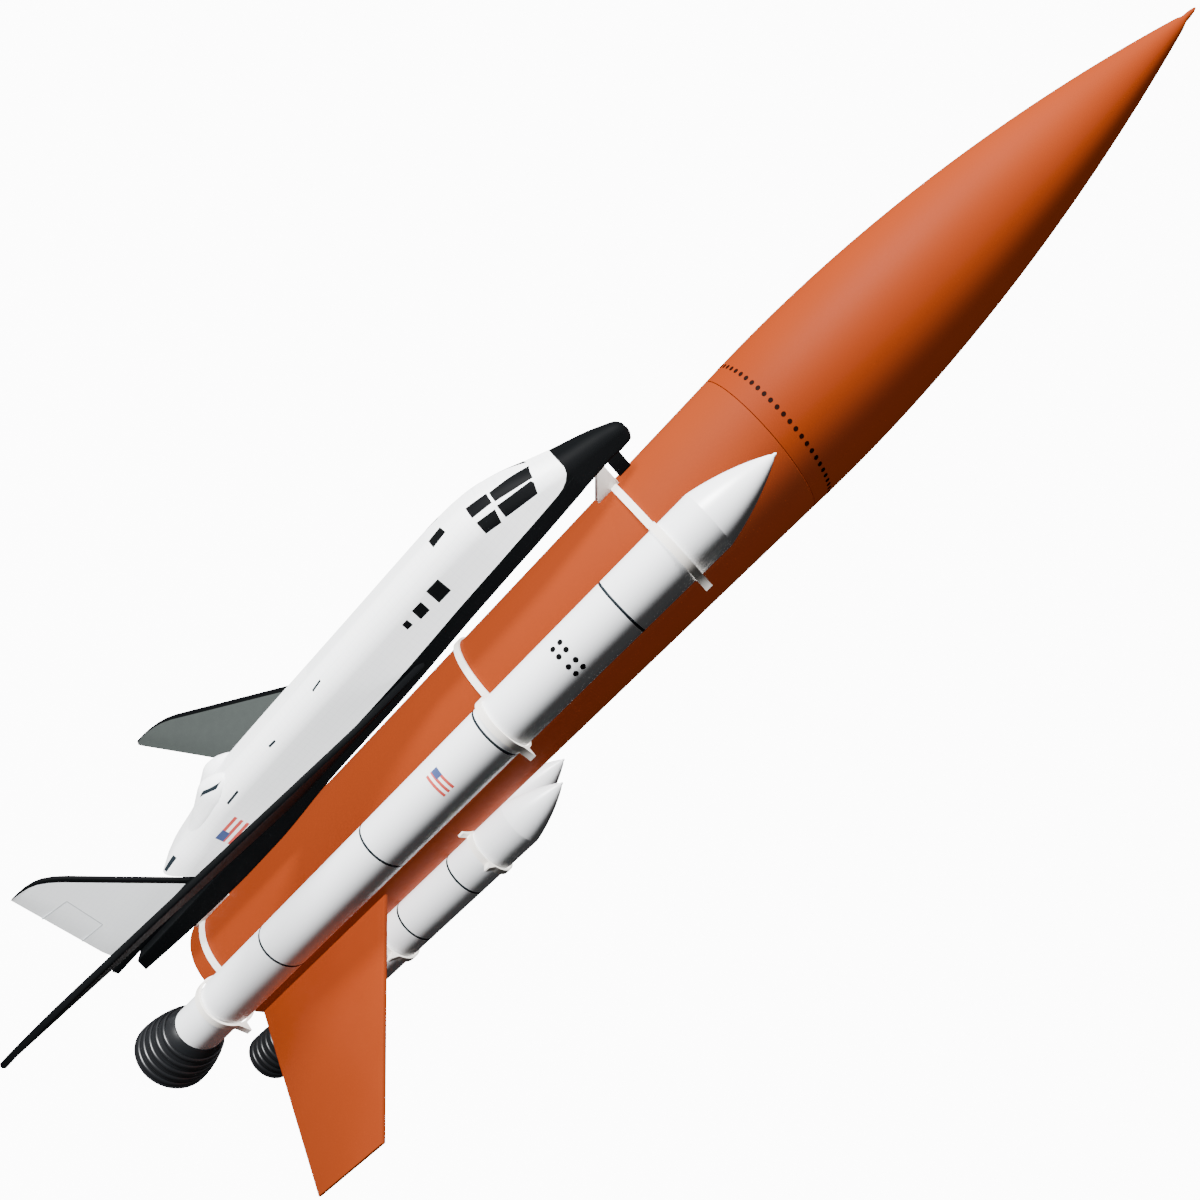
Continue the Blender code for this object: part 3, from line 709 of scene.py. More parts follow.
def makeBooster(kind, name):
    centre, shared, edge = boosterCentres[name], boosterShared, boosterShared["edge"]
    radius, shoulder, top = kind["radius"], kind["shoulder"], shared["bodyLow"]
    turnedNode(name + "_body", centre, [
        (0.0, shoulder), (radius, shoulder), (radius, top + edge), (radius - edge, top),
        (0.0, top)], boosterWhites[name])
    nose = noseProfile(radius, shoulder, kind["tip"], shared["tipRadius"], shared["fullness"],
                       shared["noseRows"])
    turnedNode(name + "_nose", centre, nose + [(0.0, shoulder)], mouldedWhite)
    skirt, foot = radius - shared["skirtInset"], shared["skirtLow"]
    turnedNode(name + "_skirt", centre, [
        (0.0, top), (skirt, top), (skirt, foot + edge), (skirt - edge, foot), (0.0, foot)],
        mouldedWhite)

    throat, flare, low, wall = foot - edge, kind["bellRadius"], bell["low"], bell["wall"]
    outer = []
    for step in range(bell["rows"]):
        z = throat - (throat - low) * step / bell["rows"]
        outer.append((bellRadiusAt(skirt, flare, z), z))
    lip, soft = bell["lip"], bell["lipEdge"]
    outer += [(bellRadiusAt(skirt, flare, low), low + bell["lipTop"]), (flare, low + lip),
              (flare, low + soft), (flare - soft, low), (flare - wall, low)]
    inner = []
    for step in range(1, bell["boreRows"] + 1):
        up = step / bell["boreRows"]
        z = low + (throat - low) * bell["boreShare"] * up
        bore = bellRadiusAt(bell["throatShare"] * skirt, flare, z)
        inner.append((bore - wall * (1 - bell["boreTaper"] * up), z))
    turnedNode(name + "_nozzle", centre,
               [(0.0, throat)] + outer + inner + [(0.0, inner[-1][1])],
               bellBlack)
    ribHeights = [bell["lowestRib"] + bell["ribPitch"] * rib for rib in range(bell["ribs"])]
    ribs = [growRings(centre, bellBlack, 1, bellRadiusAt(skirt, flare, z), z, 0.0,
                      bell["ribWidth"], bell["ribProud"], bell["ribRoundness"])
            for z in ribHeights]
    grownPiece(camelName(name) + "NozzleRibs", ribs, bellBlack, "rocket")
    lines = growRings(centre, lineDark, kind["lines"], radius, kind["firstLine"],
                      kind["lineStep"], shared["lineWidth"], shared["lineProud"],
                      shared["lineRoundness"])
    grownPiece(camelName(name) + "Lines", [lines], lineDark, "rocket")


for kind in (longBooster, shortBooster):
    for name in kind["names"]:
        makeBooster(kind, name)

# angles in degrees round each long booster from its outermost line, the rest in mm
longMarks = {
    "dotRadius": 1.15, "dotProud": 0.06, "dotDepth": 0.3, "dotHeight": 240.5, "dotRise": 3.8,
    "groupAngles": (-33.0, 9.0), "dotSpread": 18.0,
    "panelAngle": -17.0, "panelHeight": 171.0, "panelWidth": 11.0, "panelDepth": 6.4}
# the block's place and size are shares of the panel's: across, up, width, height
panelPrint = {"stripes": 5, "block": (-0.31, 0.25, 0.38, 0.5), "cell": 0.8, "proud": 0.05,
              "layer": 0.02}


# A point and outward direction on a booster's tube, from arc length and height in mm
def tubeSurface(centre, radius, middle, mirror):
    def at(u, v):
        turn = radians(middle) + u / radius
        direction = Vector((mirror * cos(turn), sin(turn), 0.0))
        point = Vector((centre[0], centre[1], tailHeight + v * mm)) + direction * radius * mm
        return point, direction
    return at


# Plain red and white stripes with a blue block at one end, each layer a little prouder
def stripedPanelInto(form, surface, v, width, height):
    cell, proud, layer = panelPrint["cell"], panelPrint["proud"], panelPrint["layer"]
    markInto(form, surface, rectangle(0.0, v, width, height), cell, proud)
    stripe = height / panelPrint["stripes"]
    for row in range(0, panelPrint["stripes"], 2):
        middle = v - height / 2 + stripe * row + stripe / 2
        markInto(form, surface, rectangle(0.0, middle, width, stripe), cell, proud + layer,
                 material=1)
    across, up, wide, high = panelPrint["block"]
    block = rectangle(width * across, v + height * up, width * wide, height * high)
    markInto(form, surface, block, cell, proud + 2 * layer, material=2)


def makeLongMarks():
    dots, form = [], bmesh.new()
    for side, mirror in sides:
        centre, radius = boosterCentres["long_booster_" + side], longBooster["radius"]
        for middle in longMarks["groupAngles"]:
            turn = middle if mirror > 0 else 180 - middle
            dots.append(grow(dotsRoundTube, centre, glossBlack, {
                "Columns": 2, "Rows": 2,
                "Tube radius": (radius + longMarks["dotProud"] - longMarks["dotDepth"] / 2) * mm,
                "First angle": radians(turn - longMarks["dotSpread"] / 2),
                "Angle step": radians(longMarks["dotSpread"]),
                "First height": tailHeight + longMarks["dotHeight"] * mm,
                "Height step": longMarks["dotRise"] * mm,
                "Dot radius": longMarks["dotRadius"] * mm,
                "Dot depth": longMarks["dotDepth"] * mm}))
        surface = tubeSurface(centre, radius, longMarks["panelAngle"], mirror)
        stripedPanelInto(form, surface, longMarks["panelHeight"], longMarks["panelWidth"],
                         longMarks["panelDepth"])
    grownPiece("longBoosterDots", dots, glossBlack, "rocket")
    finishPiece("longBoosterPanels", form, [stripeWhite, stripeRed, stripeBlue], "rocket")


makeLongMarks()
print("boosters ready")

# Bands, in mm and degrees

strap = {
    "thickness": 1.1, "width": 3.0, "gap": 0.3, "edge": 0.35,
    "spur": 4.5, "spurTurn": 68.0, "spurWidth": 16.0, "spurTip": 1.0, "spurBack": 3.0,
    "longAngle": 90.0, "longEnd": 16.0, "shortAngle": 20.0, "shortEnd": 22.0}
# how many pieces each curve of a band has
strapSteps = {"tank": 36, "beforeSpur": 40, "afterSpur": 16, "end": 8, "bore": 56}
bandHeights = {
    "forward_yoke": 297.0, "middle_yoke": 203.0, "aft_yoke": 11.8,
    "short_band_forward": 143.0, "short_band_aft": 74.0}
# outlines as distance out from the tank's axis and height
brackets = {
    "forward_yoke": [(33.6, 288.5), (35.0, 288.5), (44.7, 297.5), (44.4, 299.6), (33.6, 299.6)],
    "aft_yoke": [(33.6, 8.0), (40.0, 8.0), (41.15, 10.5), (40.2, 26.0), (35.6, 34.0),
                 (33.6, 34.0)]}
bracketSizes = {"thickness": 4.0, "edge": 0.4}


def arc(centre, radius, start, end, steps):
    turns = [radians(start + (end - start) * step / steps) for step in range(steps + 1)]
    return [(centre[0] + radius * cos(turn), centre[1] + radius * sin(turn)) for turn in turns]


# The angle at a first circle's centre between the line to a second one and where they cross
def meetingAngle(first, second, distance):
    return degrees(acos((first ** 2 + distance ** 2 - second ** 2) / (2 * first * distance)))


# One side of a band: round the tank, out over a booster, ending in a pointed spur
def bandSide(boosterRadius, boosterAngle, endAngle):
    hug = tank["radius"] + strap["gap"]
    skin = hug + strap["thickness"]
    bore = boosterRadius + strap["gap"]
    wrap = bore + strap["thickness"]
    distance = hug + boosterRadius
    turn = radians(boosterAngle)
    centre = (distance * sin(turn), -distance * cos(turn))
    outward = boosterAngle - 90.0
    tankOuter, tankInner = meetingAngle(skin, wrap, distance), meetingAngle(hug, bore, distance)
    wrapEnd = 180.0 - meetingAngle(wrap, skin, distance)
    boreEnd = 180.0 - meetingAngle(bore, hug, distance)
    spur, tip, steps = outward + strap["spurTurn"], strap["spurTip"], strapSteps
    outer = arc((0, 0), skin, -90.0, outward - tankOuter, steps["tank"])
    outer += arc(centre, wrap, outward - wrapEnd, spur - strap["spurWidth"],
                 steps["beforeSpur"])[1:]
    outer += arc(centre, wrap + strap["spur"], spur - tip, spur + tip, 1)
    outer += arc(centre, wrap, spur + strap["spurBack"], outward + wrapEnd, steps["afterSpur"])
    outer += arc((0, 0), skin, outward + tankOuter, endAngle - 90.0, steps["end"])[1:]
    inner = arc((0, 0), hug, endAngle - 90.0, outward + tankInner, steps["end"])
    inner += arc(centre, bore, outward + boreEnd, outward - boreEnd, steps["bore"])[1:]
    inner += arc((0, 0), hug, outward - tankInner, -90.0, steps["tank"])[1:]
    return outer, inner


def makeBands():
    for node, height in bandHeights.items():
        kind, side, booster = "long", 1, longBooster
        if node.startswith("short"):
            kind, side, booster = "short", -1, shortBooster
        angle = strap[kind + "Angle"]
        outer, inner = bandSide(booster["radius"], angle, angle + strap[kind + "End"])
        mirroredOuter = [(-u, v) for u, v in outer][::-1][:-1]
        mirroredInner = [(-u, v) for u, v in inner][::-1][1:]
        form = plateInto(
            bmesh.new(), outer + inner + mirroredInner + mirroredOuter, strap["width"],
            lambda u, v, w: place(side * u, side * v, height + w), strap["edge"])
        if node in brackets:
            plateInto(form, brackets[node], bracketSizes["thickness"],
                      lambda u, v, w: orbiterPoint(w, u, v), bracketSizes["edge"])
        finishNode(node, form, [strapWhite], "rocket")


makeBands()
print("bands ready")

# Fins; root and tip are the low and high ends of those edges, in mm up the tank

fin = {"angle": 128.0, "thickness": 2.4, "edge": 0.7, "gap": 0.3, "reach": 129.0,
       "root": (1.2, 96.5), "tip": (9.5, 52.0)}


def makeFins():
    root, reach = tank["radius"] + fin["gap"], fin["reach"]
    outline = [(root, fin["root"][0]), (reach, fin["tip"][0]), (reach, fin["tip"][1]),
               (root, fin["root"][1])]
    for side, mirror in sides:
        turn = radians(fin["angle"] * mirror)
        form = plateInto(
            bmesh.new(), outline, fin["thickness"],
            lambda u, v, w: place(u * sin(turn) + w * cos(turn), w * sin(turn) - u * cos(turn), v),
            fin["edge"])
        finishNode("fin_" + side, form, [finOrange], "rocket")


makeFins()
print("fins ready")

# Orbiter hull, all in mm

# height, half width, near and far distance from the tank's axis, shoulder radius
hullTable = [
    (288.3, 11.5, 52.0, 60.6, 7.0), (280.0, 12.6, 52.1, 64.2, 8.3),
    (268.0, 13.9, 52.1, 69.4, 9.6), (256.0, 15.1, 52.2, 73.0, 10.6),
    (244.0, 15.8, 52.1, 74.6, 11.0), (228.0, 16.0, 51.8, 75.2, 11.0),
    (180.0, 16.0, 50.2, 75.3, 11.0), (126.0, 16.0, 49.8, 75.5, 11.0),
    (88.0, 16.0, 49.5, 75.3, 11.0), (76.0, 16.0, 49.5, 73.4, 10.8),
    (66.0, 16.0, 49.5, 70.9, 10.5), (58.0, 15.8, 49.5, 69.2, 10.0),
    (51.0, 15.5, 49.5, 66.6, 9.2)]
capTable = [
    (315.2, 2.0, 44.2, 48.6, 1.8), (313.6, 4.2, 42.9, 50.6, 3.4), (309.0, 5.8, 43.2, 53.0, 4.5),
    (303.0, 7.8, 44.5, 55.6, 5.5), (288.3, 11.5, 45.4, 60.6, 7.0)]
# height, half width, near and far distance from the tank's axis
panTable = [
    (288.3, 11.5, 45.4, 52.0), (276.0, 13.0, 45.4, 52.1), (253.0, 15.4, 45.5, 52.2),
    (232.0, 16.0, 45.1, 51.9), (180.0, 16.0, 42.8, 50.2), (126.0, 16.0, 41.6, 49.8),
    (85.0, 16.0, 39.2, 49.5), (65.0, 16.0, 39.1, 49.5), (25.0, 16.0, 40.6, 49.5),
    (-16.0, 15.0, 43.1, 49.5)]
hull = {"rakeFrom": 74.0, "rakeTo": 51.0, "overhang": 14.0, "rows": 120}
# the cap's lower corner is never more than these shares of its half width and its depth
cap = {"rows": 40, "bend": 1.6, "tip": 0.5, "lowCorner": 1.2, "lowCornerShares": (0.4, 0.3),
       "leastRoof": 0.01}
pan = {"edge": 0.9, "upperEdge": 0.2, "rake": -0.6, "rakeFrom": -10.0, "rows": 100}
# points of a section: shares of the way up its wall, and steps round each kind of corner
section = {"wallShares": (0.33, 0.66), "roofSteps": 16, "lowSteps": 6, "panSteps": 5}
deck = {"halfWidth": 8.8, "low": 49.5, "high": 53.0, "fore": 50.2, "rear": -31.0, "edge": 0.4}


# Half of a hull section from its lower corner to the middle of the roof
def halfSection(halfWidth, low, high, corner, lowCorner=0.0):
    points = [(halfWidth, low)]
    if lowCorner:
        points = arc((halfWidth - lowCorner, low + lowCorner), lowCorner, -90, 0,
                     section["lowSteps"])
    for share in section["wallShares"]:
        points.append((halfWidth, low + (high - corner - low) * share))
    return points + arc((halfWidth - corner, high - corner), corner, 0, 90,
                        section["roofSteps"])


def bothSides(half):
    return half + [(-across, out) for across, out in half[::-1]]


# How far the hull's rear leans back at a height, and at a distance from the tank's axis
def hullLean(z, out, low, roof):
    rake = max(0.0, (hull["rakeFrom"] - z) / (hull["rakeFrom"] - hull["rakeTo"]))
    return hull["overhang"] * rake * ((out - low) / (roof - low)) ** 2


def hullRing(z):
    halfWidth, low, roof, corner = smoothRow(hullTable, z)
    return [orbiterPoint(across, out, z - hullLean(z, out, low, roof))
            for across, out in bothSides(halfSection(halfWidth, low, roof, corner))]


def capRing(z):
    halfWidth, low, high, corner = smoothRow(capTable, z)
    ofWidth, ofDepth = cap["lowCornerShares"]
    lowCorner = min(cap["lowCorner"], halfWidth * ofWidth, (high - low) * ofDepth)
    corner = min(corner, halfWidth - cap["leastRoof"])
    half = halfSection(halfWidth, low, high, corner, lowCorner)
    return [orbiterPoint(across, out, z) for across, out in bothSides(half)]


def panRing(z):
    halfWidth, low, high = smoothRow(panTable, z)
    rake = pan["rake"] * max(0.0, (z - pan["rakeFrom"]) / (panTable[-1][0] - pan["rakeFrom"]))
    edge, upperEdge = pan["edge"], pan["upperEdge"]
    half = arc((halfWidth - edge, low + edge), edge, -90, 0, section["panSteps"])
    half += [(halfWidth, high - upperEdge), (halfWidth - upperEdge, high)]
    return [orbiterPoint(across, out, z - rake * (out - low)) for across, out in bothSides(half)]


# A point on the hull's skin and its outward direction, from height and girth: the distance in mm
# round the section from its lower corner
def hullSurface(mirror):
    def at(z, girth):
        halfWidth, low, roof, corner = smoothRow(hullTable, z)
        wall = roof - corner - low
        bend = corner * pi / 2
        turn = max(0.0, min(pi / 2, (girth - wall) / corner))
        across = halfWidth - corner + corner * cos(turn) - max(0.0, girth - wall - bend)
        out = roof - corner + corner * sin(turn) + min(0.0, girth - wall)
        lean = hullLean(z, out, low, roof)
        return (orbiterPoint(mirror * across, out, z - lean),
                orbiterDirection(mirror * cos(turn), sin(turn)))
    return at


def makeHull():
    form = lofted([hullRing(z) for z in heightsDown(hullTable, hull["rows"])])
    finishNode("orbiter_fuselage", form, [foamWhite], "orbiter", sharp=38.0)

    form = lofted([capRing(z) for z in heightsDown(capTable, cap["rows"], cap["bend"])])
    # the flat front end drawn out to a blunt point
    form.faces.ensure_lookup_table()
    front = max(form.faces, key=lambda face: face.calc_center_median().z)
    bmesh.ops.poke(form, faces=[front])
    form.verts.ensure_lookup_table()
    top, halfWidth, low, high, corner = capTable[0]
    tip = max(form.verts, key=lambda vert: (vert.co.z, len(vert.link_edges)))
    tip.co = orbiterPoint(0.0, (low + high) / 2, top + cap["tip"])
    finishNode("orbiter_nose_cap", form, [tileBlack], "orbiter", sharp=50.0)

    form = lofted([panRing(z) for z in heightsDown(panTable, pan["rows"])])
    finishNode("orbiter_belly_pan", form, [tileBlack], "orbiter")

    wide, fore, rear, middle = (deck["halfWidth"], deck["fore"], deck["rear"],
                                (deck["low"] + deck["high"]) / 2)
    form = plateInto(
        bmesh.new(), [(wide, fore), (wide, rear), (-wide, rear), (-wide, fore)],
        deck["high"] - deck["low"], lambda u, v, w: orbiterPoint(u, middle + w, v), deck["edge"])
    finishNode("orbiter_tail_deck", form, [tileBlack], "orbiter")


makeHull()
print("hull ready")

# Wings and tail, in mm and degrees

wing = {
    "dihedral": 26.7, "rootLevel": 47.2, "rootAcross": 16.0, "thickness": 2.6, "edgeBand": 5.2,
    "trailing": 0.7, "taper": 9.0}
# distance along the slope, height of the leading edge; then the same of the trailing edge
wingLead = [
    (0.0, 195.0), (3.0, 183.0), (6.0, 172.0), (10.0, 163.5), (14.0, 156.0), (20.0, 147.2),
    (30.0, 133.0), (41.0, 117.5), (55.0, 97.5), (70.0, 76.0), (80.0, 61.7), (87.5, 51.0),
    (91.5, 44.2), (94.2, 38.0), (96.3, 31.0), (97.5, 25.0), (98.0, 18.0)]
wingTrail = [(0.0, 101.0), (96.0, 16.4)]
tailFin = {"thickness": 2.4, "edgeBand": 3.1, "trailing": 0.6, "taper": 7.0}
# distance out from the tank's axis, height of the leading edge; then of the trailing edge
tailLead = [
    (53.0, 33.0), (60.0, 28.6), (75.0, 19.1), (88.0, 10.9), (95.0, 6.5), (99.0, 3.4),
    (102.0, 0.0), (103.8, -3.6), (105.0, -8.0), (105.7, -13.0), (106.0, -17.4)]
tailTrail = [(53.0, -30.5), (58.0, -30.5), (106.0, -18.0)]
# where a blade's section has points: turns round its nose, and shares of the rest of its chord
noseTurns = (0, 20, 40, 60, 80)
chordShares = (0.15, 0.35, 0.55, 0.72, 0.86, 1.0)
# the least chord in mm, the most of a chord that nose and leading band take up, and how much
# longer the band is than the nose at the least
bladeLimits = {"chord": 0.8, "nose": 1 / 3, "band": 0.45, "bandOverNose": 1.05}


def straight(points, at):
    for (a, low), (b, high) in zip(points, points[1:]):
        if a <= at <= b:
            return low + (high - low) * (at - a) / (b - a)
    return points[-1][1]


def noseLength(values, chord):
    return min(values["thickness"] / 2, chord * bladeLimits["nose"])


# Thickness of a blade at a distance behind its leading edge
def bladeThickness(values, behind, chord):
    full, nose = values["thickness"], noseLength(values, chord)
    if behind < nose:
        return full * sqrt(max(0.0, 1 - ((nose - behind) / nose) ** 2))
    left = chord - behind
    taper = min(values["taper"], chord - nose)
    if left < taper:
        return values["trailing"] + (full - values["trailing"]) * left / taper
    return full


# A blade between a leading and a trailing line: rounded in front, thin behind. The materials'
# places are those of its upper face, its lower face and the band along its leading edge.
def blade(lead, trail, values, setPlace, upperFace, lowerFace, edgeFace):
    form, rings = bmesh.new(), []
    for along, front in lead:
        chord = max(front - straight(trail, along), bladeLimits["chord"])
        nose = noseLength(values, chord)
        band = max(min(values["edgeBand"], chord * bladeLimits["band"]),
                   nose * bladeLimits["bandOverNose"])
        steps = [nose * (1 - cos(radians(turn))) for turn in noseTurns] + [band]
        steps += [band + (chord - band) * share for share in chordShares]
        ring = [(step, bladeThickness(values, step, chord) / 2) for step in steps]
        upper = [setPlace(along, front - step, half) for step, half in ring]
        lower = [setPlace(along, front - step, -half) for step, half in ring]
        rings.append([form.verts.new(point) for point in upper + lower[::-1]])
    total = len(rings[0])
    for inner, outer in zip(rings, rings[1:]):
        for at in range(total):
            after = (at + 1) % total
            onUpper = at < total // 2
            step = at if onUpper else total - 2 - at
            face = form.faces.new((inner[at], inner[after], outer[after], outer[at]))
            face.material_index = upperFace if onUpper else lowerFace
            if step < len(noseTurns):
                face.material_index = edgeFace
    form.faces.new(rings[0]).material_index = lowerFace
    form.faces.new(rings[-1]).material_index = edgeFace
    return form


def makeWings():
    slope = radians(wing["dihedral"])
    for side, mirror in sides:
        def setPlace(along, z, height):
            across = wing["rootAcross"] + along * cos(slope) - height * sin(slope)
            out = wing["rootLevel"] + along * sin(slope) + height * cos(slope)
            return orbiterPoint(mirror * across, out, z)
        form = blade(wingLead, wingTrail, wing, setPlace, 0, 1, 1)
        finishNode("orbiter_wing_" + side, form, [foamGrey, tileBlack], "orbiter")


def makeTail():
    form = blade(tailLead, tailTrail, tailFin,
                 lambda along, z, height: orbiterPoint(height, along, z), 0, 0, 1)
    finishNode("orbiter_tail_fin", form, [foamPale, tileBlack], "orbiter")


makeWings()
makeTail()

# height, half width, how proud of the hull
podTable = [
    (99.0, 0.4, 0.12), (97.5, 2.4, 1.3), (93.0, 4.8, 3.6), (88.0, 5.8, 4.4), (82.0, 5.8, 3.2),
    (76.0, 5.4, 2.0), (70.0, 4.6, 1.1), (64.0, 3.2, 0.6), (62.0, 0.5, 0.12)]
pod = {"across": 8.3, "sunk": 0.5, "rows": 48, "steps": 28}
peg = {"halfWidth": 2.0, "low": 301.5, "high": 307.5, "middle": 39.05, "depth": 8.3, "edge": 0.6}


# A point on a pod's skin and its outward direction, from height and the turn round its section
def podSurface(mirror):
    def at(z, turn):
        halfWidth, proud = smoothRow(podTable, z)
        width, low, roof, corner = smoothRow(hullTable, z)
        across = pod["across"] + halfWidth * cos(turn)
        past = max(0.0, across - (width - corner))
        skin = roof - corner + sqrt(corner ** 2 - past ** 2)
        bulge = (proud if turn < pi else pod["sunk"]) * sin(turn)
        return (orbiterPoint(mirror * across, skin + bulge, z),
                orbiterDirection(mirror * cos(turn), sin(turn)))
    return at


def makePods():
    top, foot = podTable[0][0], podTable[-1][0]
    turns = [pi * step / pod["steps"] for step in range(2 * pod["steps"])]
    shares = [(1 - cos(pi * row / pod["rows"])) / 2 for row in range(pod["rows"] + 1)]
    for side, mirror in sides:
        skin = podSurface(mirror)
        form = lofted([[skin(top - (top - foot) * share, turn)[0] for turn in turns]
                       for share in shares])
        finishNode("orbiter_pod_" + side, form, [foamWhite], "orbiter", sharp=60.0)


def makePeg():
    wide, low, high = peg["halfWidth"], peg["low"], peg["high"]
    form = plateInto(
        bmesh.new(), [(-wide, low), (wide, low), (wide, high), (-wide, high)], peg["depth"],
        lambda u, v, w: orbiterPoint(u, peg["middle"] + w, v), peg["edge"])
    finishNode("orbiter_nose_peg", form, [tileBlack], "orbiter")


makePods()
makePeg()
print("wings and tail ready")

# Orbiter's markings, in mm: outlines as height and girth round the hull

windowPanes = {
    "upperFore": [(261.6, 16.3), (277.5, 11.5), (279.2, 18.8), (262.0, 20.9)],
    "upperAft": [(251.3, 18.7), (260.5, 16.9), (261.1, 21.7), (251.7, 24.1)],
    "lowerFore": [(260.4, 9.6), (274.8, 6.3), (276.6, 9.9), (276.1, 11.3), (261.0, 14.8)],
    "lowerAft": [(250.9, 11.2), (257.9, 9.5), (259.7, 14.5), (251.3, 16.4)],
    "overhead": [(233.0, 22.9), (240.4, 23.5), (239.5, 28.6), (232.7, 27.6)],
    "bigSquare": [(218.8, 7.5), (225.7, 7.1), (225.7, 13.8), (219.0, 14.2)],
    "middleSquare": [(208.9, 8.8), (214.2, 8.4), (214.5, 13.2), (209.3, 13.6)],
    "smallSquare": [(202.2, 10.2), (205.2, 9.8), (205.3, 12.9), (202.4, 13.1)],
}
# the black of the nose runs back into the belly's in a curve: points of that curve
noseCurve = [(279.5, 0.0), (282.6, 0.35), (285.2, 1.3), (287.2, 2.9), (288.3, 5.0)]
noseCorner = (288.3, 0.0)
# and the belly's black rises in a wedge up the hull's last stretch
tailWedge = [(51.0, 0.0), (70.0, 0.0), (51.0, 3.6)]
# lines along the payload bay's hinges; the rear one is painted shade, a dark line where the hull's
# roof ends
hingeMarksAndRearShade = {
    "first": [(156.2, 22.1), (161.9, 22.7), (162.0, 23.6), (156.4, 23.0)],
    "second": [(124.6, 20.3), (128.6, 20.1), (128.8, 21.1), (124.7, 21.3)],
    "third": [(91.0, 17.7), (99.0, 18.0), (99.2, 19.0), (91.1, 18.7)],
    "rear": [(52.0, 18.5), (58.5, 19.0), (58.5, 21.6), (52.0, 21.1)],
}
# a short grey bar of painted shade across the front of each pod, where it rises from the hull:
# height and turn round its section
podBar = [
    [(97.0, 0.55), (94.5, 0.75), (90.5, 0.75), (93.0, 0.55)],
    [(94.5, 0.75), (90.0, 1.0), (86.0, 1.0), (90.5, 0.75)],
    [(90.0, 1.0), (88.5, 1.1), (84.5, 1.1), (86.0, 1.0)]]
hullPanel = {"z": 80.0, "girth": 8.9, "length": 14.5, "height": 7.0}
# corners as distance out from the tank's axis and height
rudder = {
    "lines": [((88.0, -6.0), (91.0, -21.5)), ((88.0, -6.0), (69.0, -12.0)),
              ((69.0, -12.0), (71.0, -26.5))],
    "halfWidth": 0.3, "cell": 30.0, "proud": 0.05, "sunk": 0.4}
markSizes = {
    "window": {"cell": 1.0, "proud": 0.07}, "black": {"cell": 1.5, "proud": 0.05},
    "hinge": {"cell": 1.0, "proud": 0.06}, "podBar": {"cell": 0.7, "proud": 0.06}}


# A piece of the orbiter's marks, laid on its right side and its left by a function
def markedPiece(name, materials, lay):
    form = bmesh.new()
    for side, mirror in sides:
        lay(form, mirror)
    finishPiece(name, form, materials, "orbiter", ())


def layWindows(form, mirror):
    for outline in windowPanes.values():
        markInto(form, hullSurface(mirror), outline, **markSizes["window"])


def layNoseCurves(form, mirror):
    for start, end in zip(noseCurve, noseCurve[1:]):
        markInto(form, hullSurface(mirror), [noseCorner, start, end], **markSizes["black"])
    markInto(form, hullSurface(mirror), tailWedge, **markSizes["black"])


# the hinge marks, and the lines of painted shade at the hull's rear and across each pod's front
def layHingeMarksAndShadeLines(form, mirror):
    for outline in hingeMarksAndRearShade.values():
        markInto(form, hullSurface(mirror), outline, **markSizes["hinge"])
    for outline in podBar:
        markInto(form, podSurface(mirror), outline, **markSizes["podBar"])


def layPanels(form, mirror):
    skin = hullSurface(mirror)
    stripedPanelInto(form, lambda u, v: skin(hullPanel["z"] - u, v), hullPanel["girth"],
                     -hullPanel["length"], hullPanel["height"])


def layRudderLines(form, mirror):
    def flat(out, z):
        across = mirror * tailFin["thickness"] / 2
        return orbiterPoint(across, out, z), orbiterDirection(mirror, 0)

    for (x, z), (endX, endZ) in rudder["lines"]:
        scale = rudder["halfWidth"] / hypot(endX - x, endZ - z)
        u, v = (endZ - z) * scale, (x - endX) * scale
        outline = [(x + u, z + v), (endX + u, endZ + v), (endX - u, endZ - v), (x - u, z - v)]
        markInto(form, flat, outline, rudder["cell"], rudder["proud"], rudder["sunk"])


markedPiece("orbiterWindows", [glossBlack], layWindows)
markedPiece("orbiterNoseCurves", [tileBlack], layNoseCurves)
markedPiece("orbiterHingeMarksAndShadeLines", [lineDark], layHingeMarksAndShadeLines)
markedPiece("orbiterPanels", [stripeWhite, stripeRed, stripeBlue], layPanels)
markedPiece("orbiterRudderLines", [lineGrey], layRudderLines)
print("markings ready")

# Studio, in metres

studio = {
    "floorSize": 24.0, "floorCells": 8, "floorColour": "#1e1e1e", "floorGlow": 12.0,
    "skyBright": 12.0, "skyFill": 0.035, "aim": (0.0, 0.0, 0.29), "lampDistance": 1.5}
lights = [
    # name, azimuth round the object, elevation, size, watts, casts shadows, pieces lit if not all
    ("key", -64.0, 32.0, 0.5, 40.0, True, None),
    ("openKey", -64.0, 32.0, 0.5, 105.0, False, None),
    ("orbiterFill", 5.0, 20.0, 0.6, 34.0, False, "orbiter"),
    ("tankFill", 50.0, 12.0, 0.8, 14.0, False, "orange"),
]
studioPaper = {"roughness": 0.9, "ior": 1.45}
white = (1.0, 1.0, 1.0, 1.0)


# The direction towards a place round the object, from azimuth and elevation in degrees
def towards(azimuth, elevation):
    turn, rise = radians(azimuth), radians(elevation)
    return Vector((cos(turn) * cos(rise), sin(turn) * cos(rise), sin(rise)))


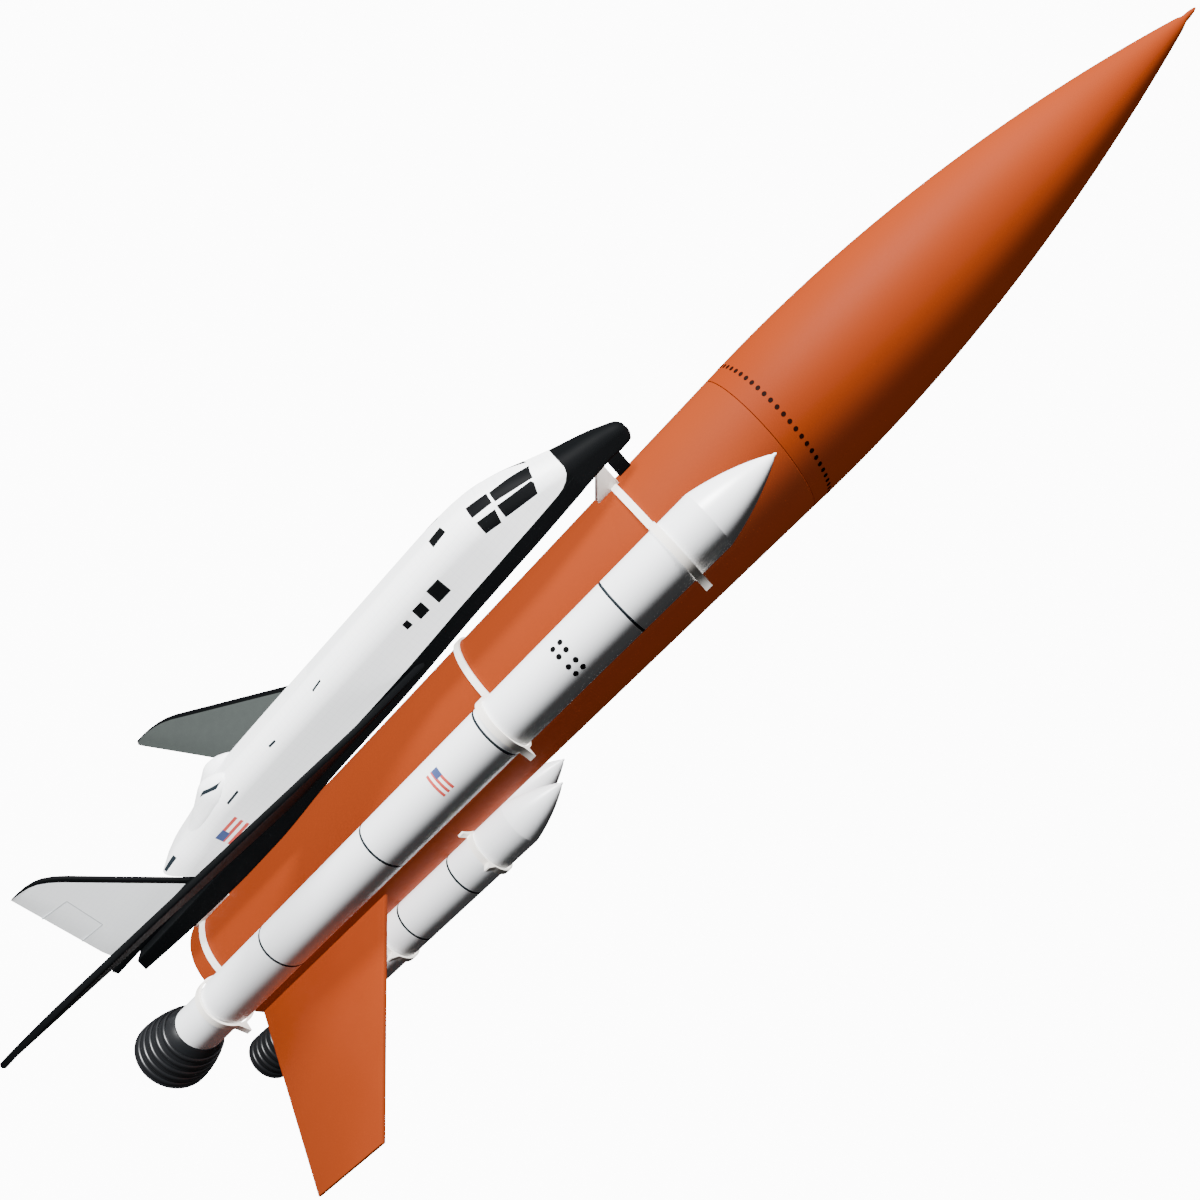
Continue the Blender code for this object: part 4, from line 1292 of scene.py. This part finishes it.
# Ground and sky shine only where the camera sees them, so the object is lit by its lamps
def makeGround():
    mesh = bpy.data.meshes.new("floor")
    form, cells = bmesh.new(), studio["floorCells"]
    bmesh.ops.create_grid(form, x_segments=cells, y_segments=cells, size=studio["floorSize"] / 2)
    form.to_mesh(mesh)
    form.free()
    floor = bpy.data.objects.new("floor", mesh)
    bpy.context.scene.collection.objects.link(floor)
    material, tree, shader, coords = newMaterial("paleStudioPaper", studioPaper)
    shader.inputs["Base Color"].default_value = hexColour(studio["floorColour"])
    shader.inputs["Emission Color"].default_value = white
    seen = addNode(tree, "ShaderNodeLightPath").outputs["Is Camera Ray"]
    glow = addNode(tree, "ShaderNodeMath", {0: seen, 1: studio["floorGlow"]},
                   operation="MULTIPLY")
    tree.links.new(glow.outputs[0], shader.inputs["Emission Strength"])
    mesh.materials.append(material)
    floor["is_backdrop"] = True

    world = bpy.data.worlds.new("studio")
    world.use_nodes = True
    bpy.context.scene.world = world
    tree = world.node_tree
    seen = addNode(tree, "ShaderNodeLightPath").outputs["Is Camera Ray"]
    strength = addNode(tree, "ShaderNodeMapRange", {
        "Value": seen, "To Min": studio["skyFill"], "To Max": studio["skyBright"]})
    background = tree.nodes["Background"]
    background.inputs["Color"].default_value = white
    tree.links.new(strength.outputs["Result"], background.inputs["Strength"])


def makeLights():
    for name, azimuth, elevation, size, watts, shadow, alone in lights:
        away = towards(azimuth, elevation)
        lamp = bpy.data.lights.new(name, "AREA")
        lamp.shape = "DISK"
        lamp.size = size
        lamp.energy = watts
        lamp.use_shadow = shadow
        holder = bpy.data.objects.new(name, lamp)
        bpy.context.scene.collection.objects.link(holder)
        holder.location = Vector(studio["aim"]) + away * studio["lampDistance"]
        holder.rotation_mode = "QUATERNION"
        holder.rotation_quaternion = (-away).to_track_quat("-Z", "Y")
        if alone:
            holder.light_linking.receiver_collection = litAlone[alone]


# The camera stands where the photograph's did, found from the tank, boosters, bands and nose
# tip. Degrees, mm for the spot and the sensor, pixels of the photograph, metres for the clip.
camera = {
    "azimuth": -16.52, "elevation": 14.65, "roll": 47.19, "spot": (329.20, -41.45, 290.06),
    "focalPixels": 738.6, "imagePixels": 1200.0, "offsetPixels": (-4.32, 178.19),
    "sensorWidth": 36.0, "clip": (0.01, 100.0)}


def makeCamera():
    back, roll = towards(camera["azimuth"], camera["elevation"]), radians(camera["roll"])
    level = Vector((0, 0, 1)).cross(back).normalized()
    upright = back.cross(level)
    right = cos(roll) * level + sin(roll) * upright
    up = -sin(roll) * level + cos(roll) * upright
    lens = bpy.data.cameras.new("photoCamera")
    lens.sensor_width = camera["sensorWidth"]
    lens.sensor_fit = "HORIZONTAL"
    lens.lens = camera["focalPixels"] / camera["imagePixels"] * lens.sensor_width
    lens.shift_x = -camera["offsetPixels"][0] / camera["imagePixels"]
    lens.shift_y = camera["offsetPixels"][1] / camera["imagePixels"]
    lens.clip_start, lens.clip_end = camera["clip"]
    holder = bpy.data.objects.new("photoCamera", lens)
    bpy.context.scene.collection.objects.link(holder)
    turned = Matrix((right, up, back)).transposed().to_4x4()
    holder.matrix_world = Matrix.Translation(place(*camera["spot"])) @ turned
    bpy.context.scene.camera = holder


makeGround()
makeLights()
makeCamera()
print("studio ready")

low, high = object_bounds()
